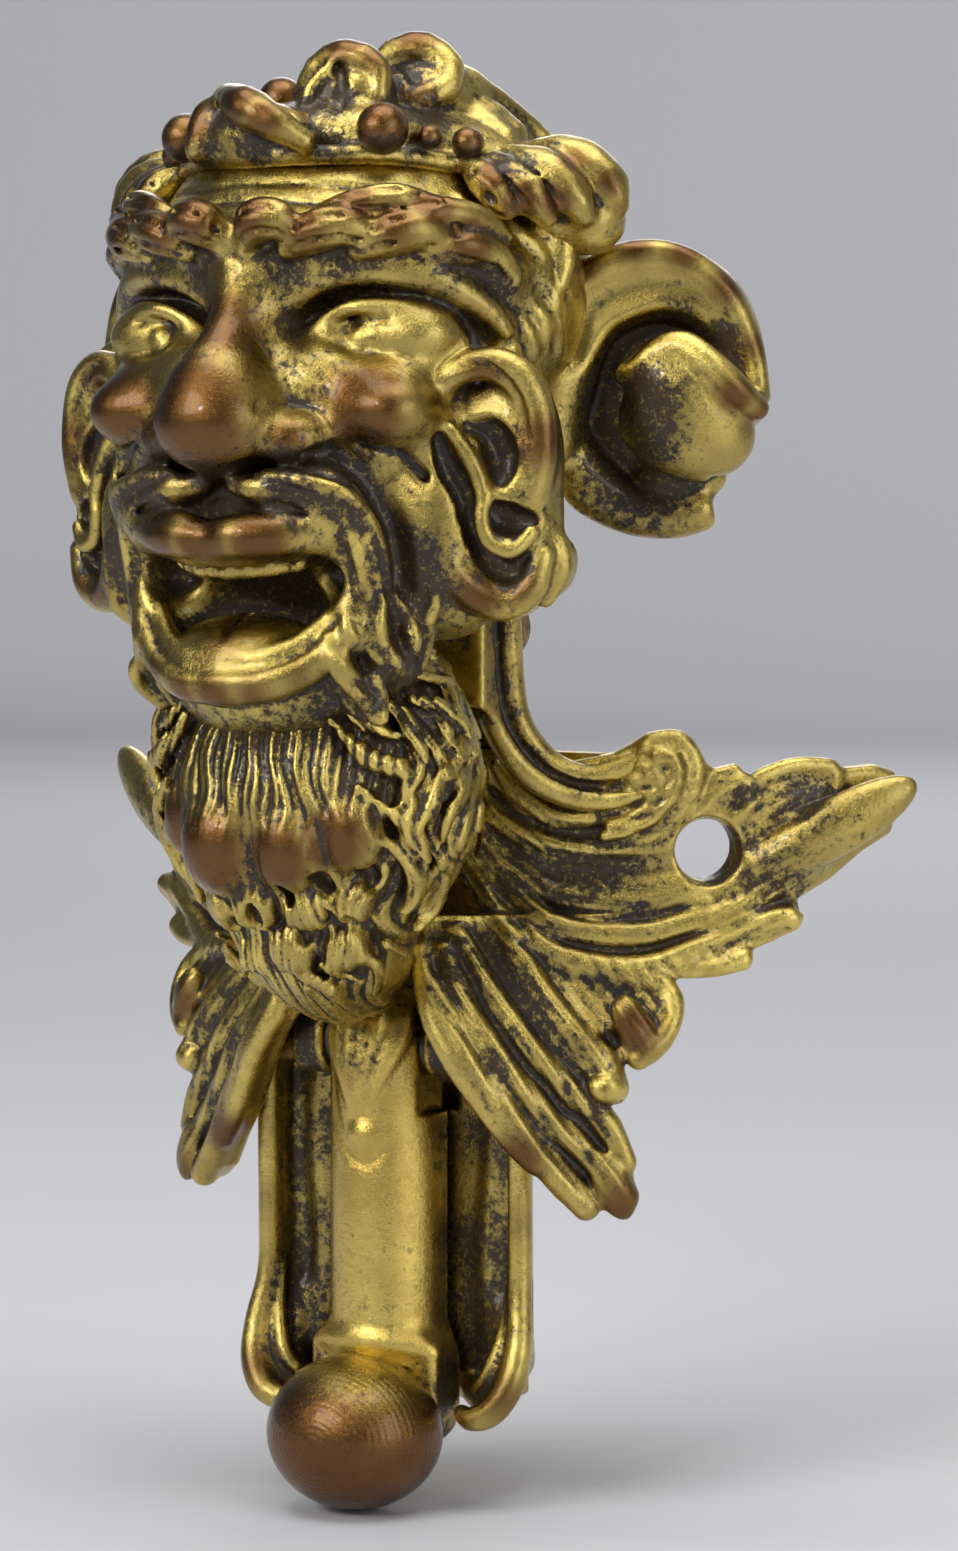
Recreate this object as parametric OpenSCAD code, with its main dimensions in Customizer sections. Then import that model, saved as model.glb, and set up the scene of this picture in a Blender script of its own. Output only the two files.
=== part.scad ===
// Door knocker: a horned mask on a leaf-winged plate, with a hinged half-round
// striker that hangs in a channel below the beard and ends in a ball grip.
// Millimetres. +Z is up, the face looks along -Y, the door plane is y = 0.
// The origin lies on the door plane, midway between the two screw holes.

/* [Wings] */
// half the distance between the two screw holes
hole_x = 25; // [20:0.5:34]
// sweep of each wing back towards the door
wing_sweep = 33; // [24:1:40]
// from the screw hole out to the wing tip
wing_reach = 17.4; // [12:0.2:24]
// thickness of the wing at the screw hole
wing_thick = 3; // [2:0.1:4.5]
// radius of the screw hole
hole_r = 2.4; // [1.8:0.1:3]
// radius of the countersink at the front of the screw hole
sink_r = 3.3; // [2.6:0.1:4.2]
// thickness of the lower leaves
leaf_thick = 2.6; // [1.8:0.1:3.6]
// drop of the lower leaf tips below the screw holes
leaf_drop = 26.5; // [20:0.5:32]

/* [Strike plate] */
// half the width over the rolled rims
plate_half = 12.7; // [10.5:0.1:16]
// bottom edge of the plate below the screw holes
plate_drop = 46; // [40:0.5:58]
// thickness of the channel floor
floor_thick = 2.3; // [1.6:0.1:3.5]
// radius of the rolled rim
rim_r = 1.3; // [0.9:0.1:1.8]

/* [Striker] */
// height of the hinge below the screw holes
hinge_drop = 16; // [13:0.5:20]
// radius of the half-round arm
arm_r = 4.9; // [3.8:0.1:6]
// bottom of the arm's foot below the screw holes
foot_drop = 49.5; // [42:0.5:62]
// radius of the ball grip
ball_r = 6.85; // [5:0.05:9]
// largest swing away from the plate
swing_max = 60; // [30:5:70]
// height of the hammer and anvil studs below the screw holes
stud_drop = 34; // [28:0.5:40]

/* [Hinge] */
// radius of the hinge pin
pin_r = 1.5; // [1:0.1:2]
// radial running clearance of the arm on the pin
run_gap = 0.05; // [0.02:0.01:0.1]
// thickness of each hinge washer
washer_thick = 0.6; // [0.4:0.1:1.2]
// thickness of each hinge lug
lug_thick = 3; // [2:0.1:4]

/* [Mask] */
// size of the head: the radius of the skull
skull_r = 18.5; // [15:0.1:22]
// height of the joint between mask and neck above the screw holes
neck_rise = 26; // [23:0.5:30]
// half the width of the neck
neck_half = 11; // [8:0.5:13]
// radius of the horn's tube at its root
horn_r = 5; // [3.5:0.1:6]
// radius of the horn's turn
horn_turn = 5.7; // [4.8:0.1:8]

/* [Fastenings] */
// shank radius of the small screws and dowels
shank_r = 1.6; // [1.2:0.1:2]
// head radius of the small screws
head_r = 2.8; // [2.2:0.1:3.4]
// head height of the small screws
head_h = 1.6; // [1.2:0.1:2.4]
// radius of the hammer and anvil faces
stud_r = 2.6; // [2:0.1:3.2]

/* [Hidden] */
$fn = 64;
// clear gap between pieces that pass each other
free_gap = 0.3;
// extra length of cutting tools
over = 1;
// distance from the door to the wing's front face at the screw hole:
// the back corner of the tip rests on the door
hole_y = wing_reach * sin(wing_sweep) + wing_thick * cos(wing_sweep);
// half width of the strike plate's upper tongue, held behind the wing roots
tongue_half = plate_half - 4.2;
// distance from the door to the wing's front face over that tongue
root_y = hole_y + (hole_x - tongue_half) * tan(wing_sweep);
// front face of the channel floor, and of the web behind it
floor_y = root_y - wing_thick / cos(wing_sweep) - 0.8;
web_thick = 2.4;
web_y = floor_y - floor_thick;
neck_y = web_y - web_thick;
web_top = 8;
web_bottom = 10;
// the arm's flat back stands off the floor, its axis lies in front of that
arm_standoff = 1;
arm_back = 1.7;
arm_y = floor_y + arm_standoff;
hinge_y = arm_y + arm_back;
// knuckle: the arm's round top, flatted on both sides for washers
knuckle_half = arm_r - 0.7;
knuckle_drop = arm_r + 0.6;
side_play = 0.05;
lug_in = knuckle_half + washer_thick + 2 * side_play;
lug_out = lug_in + lug_thick;
lug_r = pin_r + 1.5;
collar_r = pin_r + 0.8;
collar_w = 1.9;
pin_half = lug_out + collar_w + 0.5;
// rolled rim, its centre and how far it stands in front of the wing's face
rim_y = floor_y + 2;
rim_top = 9;
rim_w = (plate_half - hole_x) * sin(wing_sweep) + (rim_y - hole_y) * cos(wing_sweep) + rim_r;
lobe_r = 2.7;
// lower leaves lie in front of the rim
leaf_w = rim_w + free_gap;
leaf_root_u = -17;
leaf_root_v = -1;
// foot of the arm and the ball on its front
foot_half = 6;
foot_h = 9.5;
foot_front = hinge_y + 3;
ball_sunk = 2.6;
ball_y = foot_front + ball_sunk;
ball_z = -(foot_drop - 2.4);
// studs that meet when the striker falls
stud_proud = 0.4;
pillar_r = 3;
pillar_foot_r = 5;
pillar_foot_h = 2;
// screws behind the tongue: inside its edge, and clear of the wing roots
plate_screw_x = min(5.3, tongue_half - head_r - 0.4);
// foot of the neck on the door, and its flare over the wings
foot_top = 5;
foot_half_x = 9;
flare_half = neck_half + 4.5;
// seat of the mask on the neck, and the mask's own unit of size
seat_y = floor_y + 6.2;
m = skull_r / 18.5;
crown_z = neck_rise + 29 * m;
skull_y = seat_y + 3.5 * m;
skull_z = neck_rise + 16 * m;
// tilt of the face's round lumps, so that their poles point away from each other's rims
lump_tilt = [37, 23, 0];
screw_grip = 6;
mask_screw_x = 6;
mask_screw_z = neck_rise - 8;
screw_bite = 9;
// seat of each horn on the side of the skull, and the turn's centre
horn_seat_x = skull_r + 0.1;
horn_seat_y = seat_y - 2 * m;
horn_seat_z = skull_z - 3 * m;
horn_sweep = 30;
coil_half = horn_r * 0.84;
coil_land = horn_r * 0.34;
coil_eye_r = 2.2;
dowel_half = 4.5;
// relief that keeps the beard clear of the swinging arm
relief_r = arm_r + 1;

// a cylinder along X centred on x = 0, and one along Y from y0 to y1
module bar_x(half, r) {
    rotate([0, 90, 0])
        cylinder(h = 2 * half, r = r, center = true);
}

module bar_y(y0, y1, r) {
    translate([0, max(y0, y1), 0])
        rotate([90, 0, 0])
            cylinder(h = abs(y1 - y0), r = r);
}

module both_sides() {
    children();
    mirror([1, 0, 0])
        children();
}

// the swept plane of the right wing: x runs out to the tip, y runs up,
// z stands out from the wing's front face, the screw hole is the origin
module in_wing() {
    translate([hole_x, -hole_y, 0])
        rotate([0, 0, wing_sweep])
            rotate([90, 0, 0])
                children();
}

// a pointed leaf blade from the origin along x
module blade(length, half) {
    steps = 10;
    side = [for (i = [0:steps]) let (t = i / steps) [length * t, half * pow(sin(180 * pow(t, 0.7)), 0.8)]];
    polygon(concat(side, [for (i = [steps - 1:-1:1]) [side[i][0], -side[i][1]]]));
}

// a blade with its raised midrib, lying on the plane z = 0
module ribbed_blade(length, half, thick) {
    linear_extrude(height = thick)
        blade(length, half);
    translate([length * 0.08, 0, thick - 0.25])
        rotate([0, 90, 0])
            cylinder(h = length * 0.8, r1 = 1, r2 = 0.5, $fn = 24);
}

module wing() {
    in_wing() {
        translate([leaf_root_u, 1, -wing_thick]) {
            reach = wing_reach - leaf_root_u;
            rotate([0, 0, 8])
                ribbed_blade(reach * 1.008, 5.6, wing_thick);
            rotate([0, 0, -13])
                ribbed_blade(reach * 0.77, 5, wing_thick);
            rotate([0, 0, -32])
                ribbed_blade(reach * 0.6, 4.2, wing_thick);
        }
        // scroll on the wing's upper edge
        translate([-4.5, 5.6, -wing_thick])
            cylinder(h = wing_thick + 1.6, r = 4);
        translate([-4.5, 5.6, 0])
            cylinder(h = 2.6, r = 1.7);
    }
}

module lower_leaf() {
    in_wing() {
        translate([leaf_root_u, leaf_root_v, leaf_w]) {
            rotate([0, 0, -84])
                ribbed_blade(leaf_drop * 0.86, 3.8, leaf_thick);
            rotate([0, 0, -64])
                ribbed_blade(leaf_drop * 1.09, 4.2, leaf_thick);
            rotate([0, 0, -47])
                ribbed_blade(leaf_drop * 0.86, 3.8, leaf_thick);
            rotate([0, 0, -30])
                ribbed_blade(leaf_drop * 0.72, 3.6, leaf_thick);
        }
        // root that ties the lower leaves to the wing
        translate([leaf_root_u + 3, leaf_root_v - 3.4, -wing_thick])
            cube([6, 5.4, wing_thick + leaf_w + leaf_thick]);
    }
}

// web behind the strike plate's tongue that joins the two wings
module web() {
    translate([-hole_x * 0.68, -web_y, -web_bottom])
        cube([hole_x * 1.36, web_thick, web_top + web_bottom]);
}

module plate_screw_places() {
    for (x = [-1, 1])
        for (z = [-5.5, 1])
            translate([x * plate_screw_x, 0, z])
                children();
}

module leaf_plate() {
    color("#B08D3A")
        difference() {
            union() {
                web();
                both_sides() {
                    wing();
                    lower_leaf();
                }
            }
            both_sides()
                in_wing() {
                    translate([0, 0, -wing_thick - over])
                        cylinder(h = wing_thick + 2 * over, r = hole_r);
                    translate([0, 0, -(sink_r - hole_r)])
                        cylinder(h = sink_r - hole_r, r1 = hole_r, r2 = sink_r);
                    cylinder(h = over, r = sink_r);
                }
            plate_screw_places()
                bar_y(-web_y - over, -neck_y + over, shank_r);
            // nothing of the plate passes the door plane
            translate([-2 * hole_x, 0, -2 * hole_x])
                cube(4 * hole_x);
        }
}

// channel floor with its rims, lobes and hinge lugs
module strike_plate() {
    color("#8C6B2A")
        difference() {
            union() {
                translate([-plate_half, -floor_y, -plate_drop])
                    cube([2 * plate_half, floor_thick, plate_drop - rim_top]);
                translate([-tongue_half, -floor_y, -rim_top - over])
                    cube([2 * tongue_half, floor_thick, rim_top + over + 4]);
                both_sides() {
                    translate([plate_half, -rim_y, -plate_drop + lobe_r])
                        cylinder(h = plate_drop - lobe_r - rim_top, r = rim_r);
                    translate([plate_half - rim_r, -rim_y, -plate_drop + lobe_r])
                        cube([2 * rim_r, rim_y - floor_y + floor_thick, plate_drop - lobe_r - rim_top]);
                    translate([plate_half - 1.6, -rim_y, -plate_drop + lobe_r - 0.5])
                        rotate([90, 0, 0])
                            sphere(r = lobe_r);
                    translate([lug_in, 0, 0])
                        hinge_lug();
                }
            }
            // window for the round knuckle
            translate([-lug_in, -floor_y - over, -hinge_drop - arm_r - 0.7])
                cube([2 * lug_in, floor_thick + 2 * over, 2 * arm_r + 1.4]);
            translate([0, -hinge_y, -hinge_drop])
                bar_x(pin_half + over, pin_r);
            plate_screw_places()
                bar_y(-floor_y - over, -web_y + over, shank_r);
            translate([0, 0, -stud_drop]) {
                bar_y(-floor_y - over, -web_y + over, shank_r);
                bar_y(-floor_y - over, -floor_y + 1, stud_r);
            }
        }
}

// lug beside the knuckle, standing on the channel floor
module hinge_lug() {
    translate([0, -hinge_y, -hinge_drop]) {
        rotate([0, 90, 0])
            cylinder(h = lug_thick, r = lug_r);
        translate([0, 0, -lug_r])
            cube([lug_thick, hinge_y - web_y, 2 * lug_r]);
    }
}

module plate_screws() {
    color("#6E5523")
        plate_screw_places()
            union() {
                bar_y(-floor_y - head_h, -floor_y, head_r);
                bar_y(-floor_y - head_h / 2, -neck_y + screw_grip, shank_r);
            }
}

// hollow curve of the neck's back, from the foot on the door up to the head
neck_back = [for (a = [0:10:90]) [-neck_y * 0.8 * sin(a), foot_top + (neck_rise - foot_top) * (1 - cos(a))]];
// hollow curve of the neck's side, from the flare over the wings up to the head
neck_side = [for (a = [0:10:90]) [flare_half - (flare_half - neck_half) * sin(a),
                                  web_top + free_gap + (neck_rise - web_top) * (1 - cos(a))]];
neck_outline = concat([[foot_half_x, -web_bottom], [foot_half_x, web_top + free_gap]], neck_side);

// swan neck: flat foot on the door, front face behind the web, head seat on top
module neck_bracket() {
    color("#A8842F")
        difference() {
            intersection() {
                rotate([90, 0, 90])
                    translate([0, 0, -flare_half])
                        linear_extrude(height = 2 * flare_half)
                            polygon(concat([[0, -web_bottom]], neck_back,
                                           [[-seat_y, neck_rise], [-seat_y, web_top + 4],
                                            [-neck_y - 3, web_top + free_gap], [-neck_y, web_top + free_gap],
                                            [-neck_y, -web_bottom]]));
                rotate([90, 0, 0])
                    linear_extrude(height = seat_y + over)
                        polygon(concat(neck_outline, [for (i = [len(neck_outline) - 1:-1:0])
                                                      [-neck_outline[i][0], neck_outline[i][1]]]));
            }
            plate_screw_places()
                bar_y(-neck_y - over, -neck_y + screw_grip, shank_r);
            for (x = [-1, 1])
                translate([x * mask_screw_x, 0, mask_screw_z]) {
                    bar_y(-seat_y - over, 0, shank_r);
                    bar_y(-neck_y - 1, 0, head_r + 0.3);
                }
        }
}

// lumps of the face, placed from the skull's centre, in units of the mask
module lump(x, y, z, r) {
    translate([x * m, -skull_y - y * m, skull_z + z * m])
        rotate(lump_tilt)
            sphere(r = r * m);
}

module lump_pair(x, y, z, r) {
    lump(x, y, z, r);
    lump(-x, y, z, r);
}

// tapered bridge of the nose, leaning forward as it comes down
module nose_bridge() {
    translate([0, -skull_y - 13.5 * m, skull_z + 5 * m])
        rotate([154, 0, 0])
            cylinder(h = 14 * m, r1 = 2.6 * m, r2 = 4.6 * m);
}

module face() {
    difference() {
        union() {
            lump(0, 0, 0, 18.5);
            // brow and cheeks
            lump_pair(8.5, 10, 6, 6);
            lump_pair(10.5, 10.5, -4.6, 5.6);
            // upper lip, jaw and the core behind the mouth
            lump(0, 11.6, -14.8, 9);
            lump(0, 10.2, -28, 8.4);
            lump(0, 3, -24, 11);
        }
        // open mouth
        lump(0, 19, -21, 6.2);
    }
    // nose
    nose_bridge();
    lump(0, 18.4, -7.6, 5);
    lump_pair(4.1, 16.2, -8.6, 3.2);
    // eyes and lower lip
    lump_pair(8.4, 14.6, 0.2, 3.2);
    lump(0, 17.2, -27, 3);
    // beard and side locks
    lump(0, 9, -37.5, 8.4);
    lump_pair(6.4, 5, -33.5, 8);
    lump(0, 3.5, -44.5, 6.2);
    lump(0, 0.2, -49, 4.2);
    lump_pair(11, 3.6, -27.5, 6.4);
    lump_pair(14, 2.4, -19.5, 5.8);
    // ears
    lump_pair(16.8, 4.2, -9, 5.4);
}

// everything the arm sweeps, from hanging to full swing, and the round knuckle
module swing_relief() {
    translate([0, -hinge_y, -hinge_drop])
        rotate([90, 0, 90])
            translate([0, 0, -arm_r - 2 * over])
                linear_extrude(height = 2 * arm_r + 4 * over) {
                    circle(r = relief_r);
                    polygon([[-relief_r, 0],
                             [-relief_r * cos(swing_max), relief_r * sin(swing_max)],
                             [-relief_r * cos(swing_max) - 60 * sin(swing_max),
                              relief_r * sin(swing_max) - 60 * cos(swing_max)],
                             [-relief_r, -60]]);
                }
}

module mask() {
    color("#C49A3C")
        difference() {
            union() {
                face();
                // bosses that carry the horns
                both_sides()
                    translate([skull_r * 0.5, -horn_seat_y, horn_seat_z])
                        rotate([0, 90, 0])
                            cylinder(h = horn_seat_x - skull_r * 0.5, r = horn_r + 1);
            }
            // open mouth
            lump(0, 19, -21, 6.2);
            // flat crown under the wreath
            translate([-50, -skull_y - 50, crown_z])
                cube(100);
            // seat on the neck: flat behind the jaw and flat under the skull
            translate([-50, -seat_y, neck_rise - 100])
                cube(100);
            swing_relief();
            for (x = [-1, 1])
                translate([x * mask_screw_x, 0, mask_screw_z])
                    bar_y(-seat_y - screw_bite, -seat_y + over, shank_r);
            horn_dowel_places()
                bar_x(dowel_half, shank_r);
            translate([0, -skull_y, crown_z - dowel_half * 2])
                cylinder(h = 30, r = shank_r);
        }
}

module mask_screws() {
    color("#6E5523")
        for (x = [-1, 1])
            translate([x * mask_screw_x, 0, mask_screw_z]) {
                bar_y(-neck_y - 1, -neck_y - 1 + head_h, head_r);
                bar_y(-seat_y - screw_bite, -neck_y - 1, shank_r);
            }
}

module horn_dowel_places() {
    for (x = [-1, 1])
        translate([x * horn_seat_x, -horn_seat_y, horn_seat_z])
            children();
}

// the turn of the horn, a ring with bevelled sides, an eye and an open end
module horn_coil() {
    outer = horn_turn + horn_r;
    difference() {
        union() {
            cylinder(h = 2 * coil_land, r = outer, center = true);
            for (side = [0, 1])
                mirror([0, 0, side])
                    translate([0, 0, coil_land])
                        cylinder(h = coil_half - coil_land, r1 = outer, r2 = outer * 0.75);
        }
        cylinder(h = 4 * horn_r, r = coil_eye_r, center = true);
        translate([-2 * outer, -2 * outer, -2 * horn_r])
            cube([2 * outer - horn_turn * 0.5, 2 * outer - horn_r - 1.6, 4 * horn_r]);
    }
}

// one ram's horn: a flat root against its boss and a turn in a swept plane
// that goes up, over to the outside and in again at the end
module horn() {
    difference() {
        translate([horn_seat_x, -horn_seat_y, horn_seat_z])
            union() {
                rotate([0, 90, 0])
                    cylinder(h = 3, r1 = horn_r + 1, r2 = horn_r);
                rotate([0, 0, horn_sweep])
                    rotate([90, 0, 0])
                        translate([horn_turn, 0, 0])
                            horn_coil();
            }
        // flat seat
        translate([horn_seat_x - 50, -horn_seat_y - 50, horn_seat_z - 50])
            cube([50, 100, 100]);
        translate([horn_seat_x, -horn_seat_y, horn_seat_z])
            bar_x(dowel_half, shank_r);
    }
}

module horn_right() {
    color("#B8913A")
        horn();
}

module horn_left() {
    color("#B8913A")
        mirror([1, 0, 0])
            horn();
}

module horn_dowels() {
    color("#6E5523")
        horn_dowel_places()
            bar_x(dowel_half, shank_r);
}

// berries lying on the wreath, given as turn from the front, reach and rise
berries = [[0, 13.8, 3.9], [20, 9.8, 6.3], [-20, 9.8, 6.3], [50, 14.6, 3.4], [76, 13.6, 3.9],
           [-50, 14.6, 3.4], [-76, 13.6, 3.9]];
berry_r = 2.1;

module berry_shapes() {
    for (b = berries)
        translate([0, -skull_y, crown_z])
            rotate([0, 0, b[0]])
                translate([0, -b[1] * m, b[2] * m])
                    sphere(r = berry_r * m, $fn = 32);
}

// crown of vine leaves: a domed pad on the flat crown with leaf lobes around it
module vine_wreath() {
    color("#B99339")
        difference() {
            union() {
                translate([0, -skull_y, crown_z])
                    cylinder(h = 5.5 * m, r1 = 13.8 * m, r2 = 9 * m);
                for (a = [-100:40:100])
                    translate([0, -skull_y, crown_z])
                        rotate([0, 0, a])
                            translate([0, -13 * m, 0.9 * m])
                                sphere(r = 4.1 * m);
                translate([0, -skull_y + 8 * m, crown_z + 4.6 * m])
                    sphere(r = 6.2 * m);
                both_sides()
                    translate([6 * m, -skull_y - 2 * m, crown_z + 3.6 * m])
                        sphere(r = 5.2 * m);
            }
            // flat underside on the crown
            translate([-50, -skull_y - 50, crown_z - 100])
                cube(100);
            berry_shapes();
            translate([0, -skull_y, crown_z - over])
                cylinder(h = over + dowel_half, r = shank_r);
        }
}

module grapes() {
    color("#8A4B2A")
        berry_shapes();
}

module wreath_stud() {
    color("#6E5523")
        translate([0, -skull_y, crown_z - dowel_half * 2])
            cylinder(h = dowel_half * 3, r = shank_r);
}

module hinge_pin() {
    color("#7A7A78")
        translate([0, -hinge_y, -hinge_drop])
            bar_x(pin_half, pin_r);
}

module pin_collars() {
    color("#6E5523")
        both_sides()
            translate([lug_out, -hinge_y, -hinge_drop])
                rotate([0, 90, 0])
                    difference() {
                        cylinder(h = collar_w, r = collar_r);
                        translate([0, 0, -over])
                            cylinder(h = collar_w + 2 * over, r = pin_r);
                    }
}

module hinge_washers() {
    color("#8F8F8C")
        both_sides()
            translate([knuckle_half + side_play, -hinge_y, -hinge_drop])
                rotate([0, 90, 0])
                    difference() {
                        cylinder(h = washer_thick, r = pin_r + 0.9);
                        translate([0, 0, -over])
                            cylinder(h = washer_thick + 2 * over, r = pin_r + run_gap);
                    }
}

// half-round arm with a round knuckle at the top and a square foot at the bottom
module striker() {
    color("#C9A24A")
        difference() {
            union() {
                intersection() {
                    translate([0, -hinge_y, -foot_drop + foot_h])
                        cylinder(h = foot_drop - foot_h - hinge_drop, r = arm_r);
                    translate([-arm_r, -hinge_y - arm_r, -foot_drop])
                        cube([2 * arm_r, arm_r + arm_back, foot_drop]);
                }
                translate([0, -hinge_y, -hinge_drop])
                    sphere(r = arm_r);
                translate([-foot_half, -foot_front, -foot_drop])
                    cube([2 * foot_half, foot_front - arm_y, foot_h + over]);
                // drop in relief below the knuckle
                translate([0, -hinge_y - arm_r + 1.2, -hinge_drop - 7.5])
                    sphere(r = 1.7);
                translate([0, -hinge_y - arm_r + 1.2, -hinge_drop - 7.5])
                    cylinder(h = 6, r1 = 1.5, r2 = 0.6);
            }
            // flats for the washers
            both_sides()
                translate([knuckle_half, -hinge_y - 2 * arm_r, -hinge_drop - knuckle_drop])
                    cube([arm_r, 4 * arm_r, 4 * arm_r]);
            translate([0, -hinge_y, -hinge_drop])
                bar_x(arm_r + over, pin_r + run_gap);
            translate([0, 0, -stud_drop])
                bar_y(-arm_y - 4, -arm_y + over, shank_r);
            translate([0, 0, ball_z])
                bar_y(-foot_front - over, -arm_y + over, shank_r);
        }
}

module ball_grip() {
    color("#9A5E35")
        difference() {
            translate([0, -ball_y, ball_z])
                rotate([90, 0, 0])
                    sphere(r = ball_r);
            translate([-50, -foot_front, ball_z - 50])
                cube(100);
            translate([0, 0, ball_z])
                bar_y(-ball_y - 2, -foot_front + over, shank_r);
        }
}

module ball_stud() {
    color("#6E5523")
        translate([0, 0, ball_z])
            bar_y(-ball_y - 2, -arm_y, shank_r);
}

// striking face let into the arm's back
module hammer_stud() {
    color("#6E5523")
        translate([0, 0, -stud_drop]) {
            bar_y(-arm_y - 4, -arm_y, shank_r);
            bar_y(-arm_y, -arm_y + stud_proud, stud_r);
        }
}

// anvil let into the channel floor, with a pillar that stands on the door
module anvil_stud() {
    color("#6E5523")
        translate([0, 0, -stud_drop]) {
            bar_y(-floor_y - stud_proud, -floor_y + 1, stud_r);
            bar_y(-floor_y + 1, -web_y, shank_r);
            bar_y(-web_y, 0, pillar_r);
            bar_y(-pillar_foot_h, 0, pillar_foot_r);
        }
}

leaf_plate();
strike_plate();
plate_screws();
neck_bracket();
mask();
mask_screws();
horn_left();
horn_right();
horn_dowels();
vine_wreath();
grapes();
wreath_stud();
hinge_pin();
pin_collars();
hinge_washers();
striker();
ball_grip();
ball_stud();
hammer_stud();
anvil_stud();
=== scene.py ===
import math
import bpy
import bmesh
import numpy as np
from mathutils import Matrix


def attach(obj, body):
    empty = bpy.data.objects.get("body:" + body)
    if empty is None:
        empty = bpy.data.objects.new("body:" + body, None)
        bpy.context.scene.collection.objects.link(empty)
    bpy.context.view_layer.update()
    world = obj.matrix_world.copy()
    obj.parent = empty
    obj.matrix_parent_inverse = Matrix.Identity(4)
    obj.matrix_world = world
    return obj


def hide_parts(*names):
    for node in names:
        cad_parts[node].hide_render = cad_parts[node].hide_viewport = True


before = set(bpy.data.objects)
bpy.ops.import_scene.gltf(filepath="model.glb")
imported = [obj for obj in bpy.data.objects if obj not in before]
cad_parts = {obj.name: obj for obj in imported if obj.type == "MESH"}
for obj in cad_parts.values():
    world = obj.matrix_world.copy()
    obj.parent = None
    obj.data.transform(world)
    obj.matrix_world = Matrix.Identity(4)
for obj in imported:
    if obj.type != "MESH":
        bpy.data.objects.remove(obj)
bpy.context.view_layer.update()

import openvdb
from mathutils import Euler, Vector

# Leaf plate: one casting of two acanthus wings swept back to the door and the
# lower leaves that hang over the channel's rims. Gilt bronze, chased by hand,
# screwed to the door through a countersunk hole in each wing.
mm = 0.001  # the scene is in metres


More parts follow.
